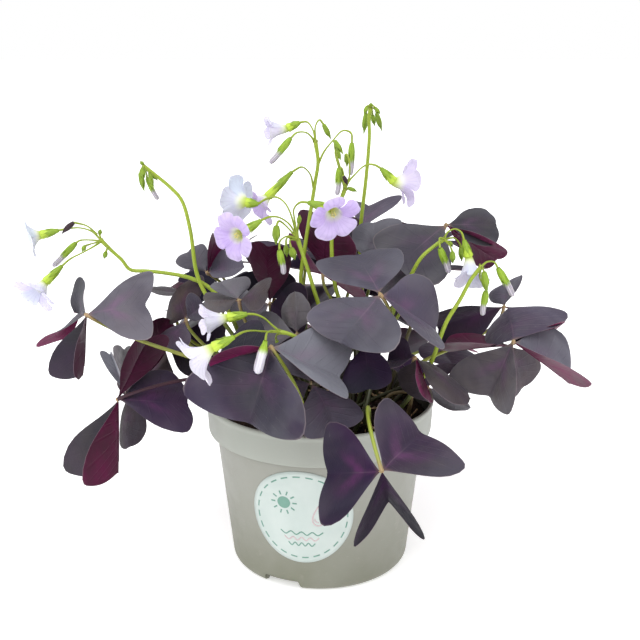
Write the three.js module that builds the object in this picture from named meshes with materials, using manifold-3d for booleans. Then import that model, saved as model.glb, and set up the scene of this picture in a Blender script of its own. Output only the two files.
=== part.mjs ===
// Purple shamrock (Oxalis triangularis) in a round nursery pot.
// Millimetres, +Z up. The origin is the centre of the pot's flat bottom; the label faces -Y.
import * as THREE from 'three';
import { mergeVertices } from 'three/addons/utils/BufferGeometryUtils.js';
import Module from 'manifold-3d';

// ---- driving dimensions -------------------------------------------------
const POT_H = 90.2;            // height over the rim
const RIM_R = 60;              // outer radius of the rim's lip
const BAND_R = 58.9;           // outer radius at the band's lower edge
const BAND_Z = 73.6;           // height of the band's lower edge
const SHOULDER_R = 55.0;       // body radius just under the band
const FOOT_R = 46.9;           // body radius at the foot
const FOOT_ROUND = 4.0;        // rounding of the bottom edge
const WALL = 1.3;              // wall thickness of body and band
const BASE_T = 1.6;            // thickness of the floor
const RECESS_IN = 30;          // ring-shaped recess under the floor: inner radius
const RECESS_OUT = 42.4;       // and outer radius
const RECESS_H = 4.6;          // and height
const NOTCH_ANGLE = 25;        // width of each foot notch, degrees
const NOTCH_H = 5.0;           // height of each foot notch
const NOTCH_AT = [-115, 5, 125];// notch centres, degrees from +X
const SOIL_Z = 80;             // height of the soil's surface
const GAP = 0.3;               // clearance between pieces that touch
const LABEL_R = 26.2;          // radius of the round label
const LABEL_T = 0.5;           // thickness of the label
const LABEL_Z = 43.5;          // height of the label's centre
const LABEL_AT = -100.4;       // direction of the label's centre, degrees from +X
const PETIOLE_R = 0.95;        // leaf stem radius
const LEAF_T = 0.8;            // leaflet thickness
const SCAPE_R = 1.1;           // flower stalk radius
const PEDICEL_R = 0.65;        // thin stalk of one flower
const PETAL_T = 0.8;           // petal thickness
const SEG = 40;                // facets around the pot
const JOIN_TOL = 0.06;         // edges shorter than this are merged where parts are joined

// Rows of a folded leaflet, stem to tip: place along the midrib, then the edge of a
// half as fractions of the midrib and of the lobe line.
const ROWS = [[0.35, -0.05, 0.93], [0.7, 0.10, 1.03]];

// ---- leaves: name, stem curve (four control points), three leaflets ------
// Each leaflet is the outer end of its midrib and the tips of its two lobes;
// all three start at the stem curve's last point.
const LEAVES = [
  ['leaf_01', [[-28.1, -17.1, 80.6], [-25.6, -27.9, 120.0], [-73.1, -46.4, 121.5], [-112.4, -38.0, 144.5]],
    [[[-83.4, -37.8, 149.4], [-85.3, -13.2, 159.7], [-80.0, -58.8, 139.2]], [[-120.0, -19.4, 139.7], [-141.2, -21.8, 123.0], [-122.0, -8.2, 155.7]], [[-114.5, -43.4, 115.2], [-112.1, -70.0, 126.9], [-132.4, -36.3, 115.3]]]],
  ['leaf_02', [[-42.3, 0.9, 80.8], [-32.9, -12.8, 119.1], [-91.3, -48.2, 108.5], [-97.4, -48.6, 105.1]],
    [[[-64.5, -38.3, 98.3], [-76.9, -19.6, 109.5], [-65.8, -50.3, 89.5]], [[-96.9, -58.6, 70.9], [-107.7, -85.2, 79.8], [-126.9, -41.7, 66.7]], [[-85.3, -19.5, 127.5], [-76.1, -21.4, 124.9], [-94.8, -15.2, 121.9]]]],
  ['leaf_03', [[-5.8, -43.1, 80.9], [-7.8, -53.3, 99.6], [-4.8, -74.5, 114.3], [-22.4, -65.5, 137.2]],
    [[[-32.4, -75.7, 103.3], [-8.7, -98.8, 107.9], [-62.1, -71.5, 118.3]], [[9.3, -63.0, 121.1], [13.4, -43.4, 138.4], [10.1, -91.1, 123.1]], [[-49.9, -63.7, 125.2], [-45.1, -81.5, 139.8], [-36.5, -39.3, 139.6]]]],
  ['leaf_04', [[14.6, -19.8, 80.7], [2.0, -7.9, 128.9], [51.6, -46.6, 124.8], [28.3, -44.7, 156.4]],
    [[[18.5, -22.5, 170.5], [-1.4, -35.3, 169.2], [39.6, -14.2, 170.9]], [[9.2, -62.7, 137.5], [32.4, -78.8, 140.3], [-5.7, -46.7, 147.3]], [[56.1, -38.3, 136.3], [54.5, -22.8, 157.3], [54.2, -67.2, 137.0]]]],
  ['leaf_05', [[37.6, 4.3, 81.0], [51.5, 9.3, 101.7], [89.1, -3.3, 93.1], [96.9, -21.1, 125.7]],
    [[[86.3, -18.7, 95.2], [91.3, -50.7, 99.9], [66.8, -8.9, 102.5]], [[127.0, -17.8, 101.9], [126.8, 3.5, 121.5], [128.6, -49.0, 114.8]], [[100.8, 17.2, 132.9], [88.2, 17.4, 116.6], [129.2, 7.9, 132.7]]]],
  ['leaf_06', [[24.0, -31.9, 80.9], [26.0, -46.9, 106.5], [16.0, -87.1, 123.2], [26.8, -105.2, 93.1]],
    [[[3.1, -91.1, 85.5], [1.7, -112.5, 71.3], [4.5, -85.4, 107.7]], [[46.2, -76.0, 99.5], [29.8, -77.1, 116.2], [62.5, -103.3, 94.4]], [[27.6, -138.7, 95.0], [42.7, -134.8, 76.9], [14.7, -133.0, 72.3]]]],
  ['leaf_07', [[34.3, 12.2, 80.8], [44.9, 15.0, 106.1], [59.9, 18.8, 163.3], [65.8, 17.7, 177.4]],
    [[[39.4, 7.6, 157.6], [58.5, -13.5, 153.9], [29.5, 30.4, 168.7]], [[92.4, 17.4, 177.2], [87.3, 37.5, 182.8], [86.4, -2.8, 170.9]], [[92.4, 12.5, 159.6], [86.3, 36.3, 150.8], [90.6, -10.8, 170.7]]]],
  ['leaf_08', [[12.0, -30.8, 80.6], [18.1, -36.1, 123.5], [12.2, -42.1, 108.0], [-4.1, -49.5, 113.8]],
    [[[7.6, -57.5, 92.9], [20.8, -48.0, 97.3], [-6.4, -76.3, 98.1]], [[-20.7, -58.1, 111.8], [-14.8, -67.8, 106.6], [-26.1, -42.6, 115.4]], [[-11.2, -35.1, 124.7], [-23.6, -43.5, 123.3], [1.0, -34.0, 125.3]]]],
  ['leaf_09', [[-25.1, 26.4, 80.6], [-21.3, 23.2, 98.9], [-41.2, -11.0, 129.8], [-40.4, -15.2, 145.3]],
    [[[-50.7, -6.7, 152.7], [-54.1, -18.1, 152.5], [-37.3, -1.2, 153.9]], [[-57.7, -18.4, 145.9], [-51.5, -31.5, 144.4], [-56.7, -4.1, 146.2]], [[-25.6, -22.6, 152.1], [-25.9, -5.6, 154.8], [-29.1, -32.8, 145.8]]]],
  ['leaf_10', [[-35.1, 2.8, 80.8], [-44.4, 5.8, 105.6], [-68.9, 0.7, 119.6], [-69.7, 1.5, 130.2]],
    [[[-82.6, -3.1, 116.4], [-68.8, -16.6, 120.7], [-85.7, 8.3, 118.3]], [[-60.4, 0.6, 139.6], [-67.8, 7.4, 142.9], [-59.5, -9.4, 135.0]], [[-75.6, 15.1, 143.9], [-83.2, 19.3, 127.2], [-61.4, 12.6, 150.5]]]],
  ['leaf_11', [[44.2, -13.5, 80.8], [49.7, -17.2, 94.0], [43.8, -30.1, 115.4], [46.0, -40.2, 123.5]],
    [[[32.7, -35.8, 120.3], [33.2, -51.5, 121.5], [38.2, -31.2, 130.6]], [[54.4, -48.5, 103.2], [47.2, -61.1, 113.4], [40.2, -31.3, 105.7]], [[73.3, -44.2, 103.6], [66.0, -26.9, 108.3], [60.9, -61.5, 108.6]]]],
  ['leaf_12', [[-18.7, 22.7, 80.8], [-14.3, 15.9, 95.2], [-40.8, 58.9, 127.7], [-63.2, 48.9, 143.8]],
    [[[-74.5, 53.3, 154.8], [-78.6, 40.9, 151.9], [-65.9, 62.4, 157.1]], [[-58.8, 55.1, 162.4], [-56.9, 69.7, 156.4], [-60.5, 40.0, 167.2]], [[-41.5, 43.7, 148.4], [-52.8, 67.9, 153.9], [-51.0, 30.9, 145.9]]]],
  ['leaf_13', [[-10.8, -17.4, 80.9], [-2.9, -26.2, 97.4], [-9.3, -24.6, 124.8], [-11.3, -29.7, 132.2]],
    [[[-12.3, -23.5, 152.4], [-19.7, -12.0, 139.9], [-5.2, -40.3, 149.4]], [[-29.6, -23.9, 124.7], [-31.9, -40.2, 126.2], [-29.0, -15.0, 138.7]], [[-0.5, -45.1, 133.7], [7.0, -35.4, 142.7], [-13.0, -50.9, 127.2]]]],
  ['leaf_14', [[39.7, 13.7, 80.5], [36.7, 12.6, 111.3], [105.2, 67.2, 92.2], [103.9, 49.2, 124.2]],
    [[[107.3, 65.1, 133.9], [98.4, 68.6, 126.4], [113.5, 48.2, 141.9]], [[66.1, 45.7, 112.6], [74.3, 23.7, 107.2], [71.3, 78.3, 112.1]], [[131.1, 48.9, 117.7], [125.7, 70.1, 112.5], [128.8, 28.5, 127.0]]]],
  ['leaf_15', [[13.8, -5.2, 81.3], [36.5, 1.1, 92.9], [97.5, 17.5, 107.5], [100.1, 2.1, 116.4]],
    [[[67.8, 6.8, 111.0], [63.1, -17.5, 123.4], [74.8, 33.7, 112.7]], [[108.5, 6.1, 91.0], [119.5, 18.1, 99.3], [94.8, -11.5, 91.9]], [[125.9, 10.4, 122.9], [115.3, 23.8, 128.0], [123.4, -8.0, 131.7]]]],
  ['leaf_16', [[-23.5, 13.7, 80.5], [-19.8, 12.4, 108.8], [-65.8, 19.2, 100.1], [-76.3, 29.3, 116.9]],
    [[[-96.5, 10.1, 109.9], [-87.8, 0.7, 129.4], [-98.8, 25.9, 92.6]], [[-53.2, 24.6, 134.7], [-54.9, 48.3, 135.9], [-60.4, 2.3, 130.7]], [[-82.2, 59.5, 110.0], [-99.1, 40.6, 105.2], [-68.1, 64.6, 126.5]]]],
  ['leaf_17', [[34.1, -4.7, 80.6], [31.9, -0.3, 98.6], [51.8, -10.5, 90.4], [55.6, -12.7, 98.1]],
    [[[77.3, -19.9, 89.5], [72.5, -5.0, 92.0], [64.2, -36.0, 94.7]], [[55.2, 12.1, 99.8], [41.2, 6.1, 108.3], [71.8, 7.7, 104.8]], [[38.6, -2.5, 107.8], [37.2, -18.3, 111.0], [49.9, 8.7, 109.0]]]],
  ['leaf_18', [[-1.7, 17.9, 81.0], [-13.4, 28.5, 100.8], [-27.0, 26.7, 107.0], [-26.8, 20.1, 134.3]],
    [[[-27.9, 29.6, 163.4], [-16.7, 49.8, 153.3], [-36.6, 7.1, 167.2]], [[-45.1, 29.5, 116.4], [-41.1, 9.6, 108.1], [-51.1, 40.2, 134.6]], [[-8.1, -3.4, 124.6], [-7.4, -6.9, 149.8], [-24.3, -1.9, 105.0]]]],
  ['leaf_19', [[10.4, 10.9, 80.9], [34.8, 16.6, 121.8], [-0.8, 11.4, 134.4], [1.6, 20.0, 150.3]],
    [[[5.2, 11.6, 179.4], [18.2, -4.3, 169.2], [-11.2, 30.3, 181.2]], [[23.7, 9.9, 136.1], [24.4, 31.8, 130.0], [19.5, -7.3, 150.2]], [[-8.3, 46.9, 146.0], [-16.9, 42.4, 167.3], [14.5, 50.1, 142.4]]]],
  ['leaf_20', [[31.6, 24.7, 80.8], [15.9, 27.3, 113.8], [26.4, 59.0, 125.3], [30.6, 36.1, 150.8]],
    [[[29.2, 37.9, 174.8], [16.9, 22.8, 171.9], [45.2, 47.9, 172.3]], [[13.6, 24.5, 151.3], [25.2, 12.9, 149.0], [9.6, 36.3, 162.2]], [[49.6, 22.0, 141.9], [59.9, 36.5, 151.9], [33.9, 9.3, 139.3]]]],
  ['leaf_21', [[2.3, 26.6, 81.0], [2.3, 43.2, 99.0], [26.3, 75.8, 147.3], [23.9, 66.2, 165.3]],
    [[[28.7, 87.7, 175.0], [19.5, 93.1, 176.1], [46.6, 77.2, 182.4]], [[6.3, 56.4, 173.1], [18.5, 44.6, 176.8], [2.0, 73.1, 175.1]], [[31.7, 48.7, 159.6], [47.9, 54.3, 159.9], [13.5, 43.0, 164.2]]]],
  ['leaf_22', [[-18.4, 10.3, 81.0], [-41.8, 2.7, 108.1], [-89.0, 11.3, 106.0], [-75.2, 31.1, 136.9]],
    [[[-91.8, 29.7, 139.5], [-86.1, 16.8, 138.5], [-88.3, 43.3, 138.8]], [[-61.0, 24.1, 135.7], [-58.3, 33.7, 143.7], [-68.7, 14.0, 135.4]], [[-72.8, 46.9, 134.4], [-85.8, 46.3, 134.2], [-61.7, 43.6, 140.3]]]],
  ['leaf_23', [[-39.5, -10.8, 80.6], [-47.0, -10.0, 107.6], [-93.5, 0.2, 85.4], [-101.9, -1.5, 89.8]],
    [[[-99.7, -15.2, 65.5], [-88.1, -27.5, 82.3], [-108.9, 5.4, 61.4]], [[-103.7, 6.5, 112.8], [-112.0, 23.5, 106.7], [-95.2, -14.1, 117.8]], [[-112.4, 11.8, 108.3], [-117.4, 11.2, 107.9], [-104.0, -16.3, 115.9]]]],
  ['leaf_24', [[-31.7, 24.2, 80.6], [-35.9, 29.2, 105.4], [-23.1, 79.9, 132.7], [-21.8, 82.7, 139.9]],
    [[[-33.6, 63.9, 125.4], [-15.7, 53.8, 131.4], [-50.5, 75.8, 131.2]], [[5.2, 87.9, 134.0], [-0.8, 107.4, 143.7], [5.9, 65.6, 138.1]], [[-35.1, 106.9, 134.9], [-52.5, 93.5, 140.2], [-17.3, 114.2, 146.8]]]],
  ['leaf_25', [[23.5, 7.8, 80.7], [35.5, 7.9, 114.2], [61.8, 64.0, 86.8], [68.2, 72.4, 99.0]],
    [[[76.6, 50.1, 88.8], [94.1, 61.6, 88.1], [58.3, 44.0, 96.8]], [[77.3, 96.2, 87.6], [58.8, 103.4, 98.0], [95.9, 83.6, 86.5]], [[43.0, 71.5, 91.3], [47.0, 51.0, 94.6], [44.4, 91.6, 97.8]]]],
  ['leaf_26', [[-21.9, -0.4, 81.1], [-32.2, 7.9, 94.1], [-81.9, 35.0, 100.0], [-86.3, 38.3, 103.9]],
    [[[-101.2, 24.5, 77.6], [-81.6, 6.9, 82.0], [-116.6, 46.0, 81.3]], [[-55.7, 32.3, 103.9], [-56.5, 53.1, 117.9], [-64.9, 10.2, 96.2]], [[-88.6, 68.0, 101.4], [-110.2, 61.1, 93.4], [-69.0, 66.0, 115.3]]]],
  ['leaf_27', [[9.2, 18.3, 80.6], [6.6, 9.8, 116.7], [-7.7, 87.9, 102.7], [9.4, 91.6, 126.7]],
    [[[-8.2, 74.3, 114.0], [4.0, 59.9, 126.0], [-22.1, 90.7, 120.1]], [[36.0, 86.7, 120.9], [37.4, 106.6, 130.7], [29.0, 66.2, 126.3]], [[8.4, 116.0, 117.6], [-12.1, 111.9, 120.1], [24.7, 117.4, 130.8]]]],
  ['leaf_28', [[-8.6, 22.9, 81.2], [-15.0, 46.6, 96.6], [-51.6, 92.0, 115.0], [-64.3, 99.1, 137.7]],
    [[[-44.1, 114.0, 147.9], [-59.7, 129.0, 145.9], [-39.2, 94.3, 155.9]], [[-84.4, 107.9, 119.4], [-91.4, 86.3, 123.6], [-80.1, 127.4, 130.8]], [[-60.4, 72.4, 132.5], [-48.7, 74.8, 151.2], [-82.5, 73.4, 133.1]]]],
  ['leaf_29', [[14.9, -40.6, 80.8], [29.8, -46.8, 112.0], [22.2, -44.7, 128.4], [21.7, -49.0, 134.6]],
    [[[22.3, -63.0, 115.2], [34.0, -55.0, 118.2], [10.7, -61.0, 115.9]], [[31.3, -42.6, 140.2], [27.5, -34.2, 143.8], [35.8, -46.9, 135.2]], [[15.2, -43.1, 143.6], [11.3, -48.4, 137.9], [20.3, -36.4, 148.1]]]],
  ['leaf_30', [[-30.0, 16.5, 80.8], [-32.1, 0.8, 117.2], [-63.2, 68.2, 79.8], [-58.6, 99.4, 113.4]],
    [[[-70.4, 129.6, 112.8], [-92.4, 115.7, 113.1], [-47.0, 133.7, 123.6]], [[-73.0, 70.5, 117.4], [-48.3, 64.7, 124.1], [-93.6, 85.4, 111.2]], [[-29.5, 101.2, 118.6], [-35.4, 124.3, 118.4], [-33.2, 77.9, 121.9]]]],
  ['leaf_31', [[6.3, 36.1, 80.8], [16.7, 45.7, 110.6], [65.3, 78.0, 128.3], [55.8, 93.1, 137.7]],
    [[[29.1, 77.7, 130.9], [44.5, 58.3, 136.7], [20.6, 101.6, 132.2]], [[83.9, 83.8, 136.6], [86.9, 107.3, 133.6], [72.7, 63.5, 142.2]], [[50.1, 123.2, 133.1], [27.2, 114.9, 138.3], [75.0, 122.9, 132.0]]]],
  ['leaf_32', [[18.0, 18.2, 80.9], [20.6, 31.6, 100.8], [28.4, 97.8, 155.0], [27.4, 99.7, 161.2]],
    [[[20.6, 73.8, 165.2], [42.3, 72.5, 165.7], [0.9, 83.0, 163.4]], [[50.2, 99.6, 147.0], [40.5, 117.3, 139.1], [55.1, 85.5, 162.7]], [[7.0, 112.4, 145.6], [-5.8, 100.8, 160.9], [25.8, 123.3, 137.9]]]],
  ['leaf_33', [[-18.0, 37.1, 81.0], [1.9, 49.3, 115.1], [-16.8, 109.3, 87.3], [-17.0, 114.9, 87.6]],
    [[[-47.9, 108.9, 90.6], [-37.9, 88.3, 101.9], [-48.3, 134.0, 86.5]], [[2.7, 87.7, 93.2], [21.4, 107.8, 93.6], [-17.7, 83.0, 110.9]], [[-6.2, 140.7, 77.2], [-27.1, 148.1, 86.6], [14.0, 130.3, 85.3]]]],
  ['leaf_34', [[21.0, 27.6, 80.7], [26.5, 33.2, 105.5], [71.5, 79.2, 143.1], [72.8, 79.0, 156.6]],
    [[[49.2, 65.2, 152.9], [61.9, 49.4, 162.1], [41.5, 84.9, 159.9]], [[94.1, 70.0, 143.6], [101.2, 89.0, 150.3], [87.1, 52.0, 152.7]], [[68.1, 104.8, 151.2], [48.8, 98.6, 158.7], [88.5, 105.8, 158.1]]]],
  ['leaf_35', [[-3.2, 27.3, 81.1], [4.4, 37.7, 94.6], [34.1, 92.9, 96.6], [32.2, 92.3, 111.7]],
    [[[58.1, 75.5, 103.5], [67.9, 99.3, 104.4], [43.8, 57.2, 114.6]], [[32.8, 120.7, 102.1], [10.6, 119.5, 111.6], [56.4, 115.8, 103.5]], [[2.2, 80.7, 111.2], [15.6, 59.2, 116.6], [-2.4, 106.1, 113.7]]]],
  ['leaf_36', [[-15.0, 26.7, 80.6], [-14.1, 31.9, 100.1], [-8.4, 65.2, 135.3], [-7.8, 66.0, 152.3]],
    [[[10.8, 92.2, 143.9], [-11.8, 104.3, 151.7], [29.7, 74.7, 151.0]], [[-40.2, 60.4, 146.1], [-33.7, 38.0, 159.6], [-40.9, 86.2, 154.0]], [[12.1, 43.9, 147.6], [27.0, 62.9, 150.4], [-5.9, 31.7, 158.2]]]],
];

// ---- flower stalks: main stem, pedicels, buds, green cups ----------------
// A bud is [start, tip, radius, pale tip, dark]; a cup is [start, open end].
const STALKS = [
  { name: 'flower_stalk_1',
    scape: [[-18.8, 2.1, 81.0], [-23.9, -3.1, 92.2], [-31.2, -4.6, 103.9], [-39.6, -3.4, 115.6], [-48.2, -0.7, 127.1], [-55.8, 2.5, 137.8], [-61.5, 5.2, 147.5], [-64.2, 6.3, 155.8], [-66.5, 6.3, 177.3], [-70.3, 6.3, 192.3], [-75.4, 6.3, 198.4], [-80.8, 6.3, 203.2], [-85.6, 6.3, 207.0], [-88.6, 6.3, 209.3]],
    pedicels: [[[-88.6, 6.3, 209.3], [-90.1, 6.3, 208.0], [-90.7, 6.3, 206.0]], [[-88.4, 6.3, 209.2], [-87.7, 7.8, 205.3], [-87.8, 9.2, 203.1]], [[-88.3, 6.3, 209.0], [-85.3, 2.5, 206.6]], [[-85.6, 6.3, 207.0], [-86.0, 13.2, 204.8]], [[-88.6, 6.3, 209.3], [-88.5, 1.4, 209.2]], [[-88.6, 6.3, 209.3], [-88.9, 6.3, 210.3]]],
    buds: [[[-90.7, 6.3, 206.0], [-88.9, 6.3, 196.4], 1.25, 0, 0], [[-87.8, 9.2, 203.1], [-82.7, 9.2, 192.0], 1.4, 1, 0], [[-85.3, 2.5, 206.6], [-83.7, 2.5, 199.0], 1.0, 0, 0], [[-86.0, 13.2, 204.8], [-82.9, 13.2, 200.9], 0.8, 0, 0], [[-88.5, 1.4, 209.2], [-88.3, 1.4, 202.7], 1.0, 0, 0], [[-88.9, 6.3, 210.3], [-90.5, 6.3, 212.1], 0.8, 0, 0]],
    calyces: [] },
  { name: 'flower_stalk_2',
    scape: [[-36.3, -3.7, 80.5], [-36.3, -1.9, 93.7], [-38.5, 0.7, 108.3], [-42.8, 3.5, 122.9], [-49.2, 6.1, 135.9], [-57.5, 8.1, 145.7], [-67.7, 8.8, 150.9], [-80.7, 8.8, 153.6], [-90.0, 8.8, 154.6], [-98.8, 8.8, 155.4], [-102.7, 8.8, 160.5], [-107.6, 8.8, 165.3], [-112.5, 8.8, 170.5]],
    pedicels: [[[-112.5, 8.8, 170.5], [-117.4, 9.3, 175.4], [-123.6, 9.8, 177.2], [-129.4, 10.3, 176.8], [-135.0, 10.8, 175.7]], [[-112.5, 8.8, 170.5], [-116.8, 6.6, 167.9], [-122.2, 4.5, 165.2], [-128.0, 2.3, 162.5], [-131.8, 0.1, 159.4]], [[-112.5, 8.8, 170.5], [-119.2, 11.5, 170.5], [-125.0, 14.2, 169.7], [-127.8, 16.8, 167.8]], [[-112.4, 8.8, 170.4], [-116.1, 1.8, 170.7], [-118.2, -5.2, 171.0]], [[-112.4, 8.8, 170.5], [-109.6, 6.8, 167.8], [-109.9, 4.8, 165.6]], [[-112.5, 8.8, 170.6], [-114.2, 11.8, 173.6]], [[-114.8, 8.8, 174.0], [-119.1, 6.3, 178.9], [-125.1, 3.8, 181.2]]],
    buds: [[[-127.8, 16.8, 167.8], [-140.7, 16.8, 155.4], 1.7, 1, 0], [[-118.2, -5.2, 171.0], [-119.9, -5.2, 167.9], 1.0, 0, 0], [[-109.9, 4.8, 165.6], [-111.1, 4.8, 161.9], 1.1, 0, 0], [[-114.2, 11.8, 173.6], [-113.2, 11.8, 176.2], 1.0, 0, 0], [[-125.1, 3.8, 181.2], [-131.8, 3.8, 175.2], 1.5, 0, 1]],
    calyces: [[[-135.0, 10.8, 175.7], [-143.9, 10.1, 173.5]], [[-131.8, 0.1, 159.4], [-140.3, -1.1, 151.5]]] },
  { name: 'flower_stalk_3',
    scape: [[-9.4, 8.1, 80.5], [-7.9, 11.6, 114.7], [-8.1, 14.3, 133.6], [-9.1, 16.1, 142.3], [-10.0, 17.2, 146.0], [-10.1, 17.5, 149.8], [-7.3, 17.5, 169.2], [-4.1, 17.5, 189.3], [-2.3, 17.5, 200.8], [-1.0, 17.5, 210.0], [-2.3, 17.5, 220.2]],
    pedicels: [[[-2.3, 17.5, 220.2], [-3.6, 17.5, 226.3], [-6.6, 17.5, 230.3], [-10.2, 17.5, 230.1]], [[-2.3, 17.5, 220.2], [-6.6, 14.6, 225.1], [-11.6, 11.8, 225.6], [-14.6, 8.9, 223.2]], [[-2.3, 17.5, 220.2], [-2.3, 19.1, 228.1], [-0.3, 20.6, 231.1], [1.8, 22.2, 228.6]], [[-3.4, 17.5, 196.6], [-5.1, 15.6, 204.1], [-9.2, 13.8, 208.0], [-14.3, 11.9, 205.7]], [[-1.0, 17.5, 208.5], [2.0, 18.1, 215.1], [6.4, 18.7, 220.6], [11.7, 19.3, 225.8], [15.9, 19.8, 224.5], [16.4, 20.4, 219.4]]],
    buds: [[[-14.6, 8.9, 223.2], [-25.3, 8.9, 210.7], 1.7, 1, 0], [[1.8, 22.2, 228.6], [5.7, 22.2, 220.9], 1.25, 0, 0], [[16.4, 20.4, 219.4], [15.7, 20.4, 202.9], 1.7, 1, 0]],
    calyces: [[[-10.2, 17.5, 230.1], [-16.5, 16.8, 227.3]], [[-14.3, 11.9, 205.7], [-26.7, 11.0, 193.4]]] },
  { name: 'flower_stalk_4',
    scape: [[6.4, -13.3, 80.7], [8.6, -18.1, 98.5], [9.3, -21.8, 110.2], [8.4, -24.4, 118.5], [6.1, -26.1, 126.6], [2.3, -27.1, 137.4], [-2.9, -27.4, 153.9], [-5.8, -27.4, 163.9], [-8.7, -27.4, 172.8], [-10.6, -27.4, 178.7]],
    pedicels: [[[-10.6, -27.4, 178.7], [-14.3, -30.4, 186.7], [-19.3, -33.5, 190.9], [-23.9, -36.6, 191.7], [-27.5, -39.6, 190.6]], [[-10.6, -27.4, 178.7], [-14.4, -26.0, 192.1], [-17.2, -24.7, 196.7], [-21.1, -23.4, 198.9], [-25.9, -22.1, 197.7], [-29.9, -20.8, 195.0]], [[-10.6, -27.4, 178.7], [-11.9, -30.2, 188.1], [-12.3, -33.0, 194.8], [-9.4, -35.8, 198.4], [-5.6, -38.6, 198.9]], [[-10.6, -27.4, 178.7], [-14.8, -30.1, 184.7], [-19.4, -32.9, 189.1], [-20.5, -35.6, 187.2]], [[-10.6, -27.4, 178.7], [-15.2, -31.3, 181.5], [-18.9, -35.3, 179.9], [-19.1, -39.2, 176.4]], [[-10.6, -27.4, 178.6], [-15.8, -29.0, 180.1], [-16.3, -30.7, 176.5]], [[-10.6, -27.4, 178.7], [-14.3, -30.2, 179.3], [-13.8, -33.0, 176.0]], [[-10.6, -27.4, 179.0], [-10.6, -26.8, 184.5], [-10.3, -26.2, 186.8]]],
    buds: [[[-20.5, -35.6, 187.2], [-20.8, -35.6, 178.1], 1.8, 0, 0], [[-19.1, -39.2, 176.4], [-17.1, -39.2, 164.8], 1.6, 1, 0], [[-16.3, -30.7, 176.5], [-15.8, -30.7, 171.1], 1.2, 0, 0], [[-13.8, -33.0, 176.0], [-11.9, -33.0, 170.2], 1.6, 0, 0], [[-10.3, -26.2, 186.8], [-9.6, -26.2, 190.9], 1.0, 0, 0]],
    calyces: [[[-27.5, -39.6, 190.6], [-36.3, -41.2, 185.1]], [[-29.9, -20.8, 195.0], [-35.4, -19.5, 195.5]], [[-5.6, -38.6, 198.9], [4.7, -40.3, 196.3]]] },
  { name: 'flower_stalk_5',
    scape: [[19.3, 1.3, 80.8], [22.7, 2.6, 95.1], [22.3, 3.0, 107.2], [19.4, 2.7, 118.0], [15.2, 1.9, 128.3], [10.8, 1.1, 139.0], [7.4, 0.3, 150.8], [6.1, 0.0, 164.6], [6.3, 0.0, 178.1], [9.1, 0.0, 189.3], [12.5, 0.0, 198.9]],
    pedicels: [[[12.5, 0.0, 198.9], [14.5, 0.1, 202.9], [17.4, 0.1, 206.2], [20.9, 0.1, 209.7], [23.9, 0.1, 211.2], [27.3, 0.1, 210.9], [30.4, 0.1, 209.2]], [[12.5, 0.0, 198.9], [10.4, -2.0, 208.7], [7.6, -4.0, 218.8], [7.1, -6.0, 223.7]], [[12.5, 0.0, 198.9], [9.7, 1.4, 208.2], [7.7, 2.7, 216.5], [8.0, 4.0, 218.1]], [[12.5, 0.0, 198.9], [14.8, 2.7, 205.5], [14.3, 5.4, 213.7], [13.1, 8.0, 215.3]], [[12.5, 0.0, 198.9], [11.9, -1.3, 205.6], [10.6, -2.6, 209.8], [9.4, -4.0, 210.0]], [[12.5, 0.0, 198.9], [11.1, -4.5, 203.6], [11.5, -9.0, 206.8]], [[12.5, 0.0, 198.9], [13.8, 0.0, 199.5]]],
    buds: [[[7.1, -6.0, 223.7], [11.5, -6.0, 216.7], 1.2, 0, 0], [[8.0, 4.0, 218.1], [10.5, 4.0, 212.6], 1.1, 0, 0], [[13.1, 8.0, 215.3], [13.6, 8.0, 208.3], 1.0, 0, 0], [[9.4, -4.0, 210.0], [8.5, -4.0, 196.6], 1.5, 1, 0], [[11.5, -9.0, 206.8], [13.5, -9.0, 202.1], 1.1, 0, 1], [[13.8, 0.0, 199.5], [19.0, 0.0, 197.7], 0.85, 0, 0]],
    calyces: [[[30.4, 0.1, 209.2], [36.7, 0.7, 202.7]]] },
  { name: 'flower_stalk_6',
    scape: [[25.9, 19.4, 80.7], [25.5, 22.6, 90.7], [24.7, 26.5, 103.9], [23.8, 30.7, 119.0], [23.0, 34.8, 134.8], [22.3, 38.2, 149.9], [22.0, 40.6, 163.1], [22.3, 41.5, 173.0], [23.1, 41.5, 181.8], [24.8, 41.5, 198.2], [26.3, 41.5, 221.1], [26.0, 41.5, 230.0], [26.7, 41.5, 235.2]],
    pedicels: [[[26.7, 41.5, 235.2], [26.8, 41.9, 236.0]], [[26.7, 41.5, 235.2], [24.9, 43.4, 234.8], [24.5, 45.4, 232.0]], [[26.7, 41.5, 235.2], [25.5, 38.5, 236.8], [24.6, 35.6, 236.5]], [[26.7, 41.5, 235.2], [28.8, 42.1, 234.7], [30.0, 42.7, 232.5]], [[26.7, 41.5, 235.2], [28.0, 45.7, 233.3], [28.2, 50.0, 230.8]], [[26.7, 41.5, 235.2], [27.9, 40.0, 236.6], [28.9, 38.5, 235.7]]],
    buds: [[[26.8, 41.9, 236.0], [26.9, 41.9, 238.1], 0.95, 0, 0], [[24.5, 45.4, 232.0], [23.3, 45.4, 220.9], 1.4, 0, 0], [[24.6, 35.6, 236.5], [23.0, 35.6, 232.4], 0.95, 0, 0], [[30.0, 42.7, 232.5], [33.0, 42.7, 222.8], 1.3, 0, 0], [[28.2, 50.0, 230.8], [29.6, 50.0, 224.7], 1.1, 0, 0], [[28.9, 38.5, 235.7], [31.9, 38.5, 232.1], 0.9, 0, 0]],
    calyces: [] },
  { name: 'flower_stalk_7',
    scape: [[23.1, -21.2, 80.4], [24.5, -20.4, 94.7], [27.2, -17.9, 108.4], [30.9, -14.7, 121.4], [35.2, -11.4, 133.4], [39.9, -8.9, 144.2], [44.5, -7.9, 153.5], [50.7, -7.9, 165.4], [56.6, -7.9, 171.0], [61.9, -7.9, 174.9]],
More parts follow.
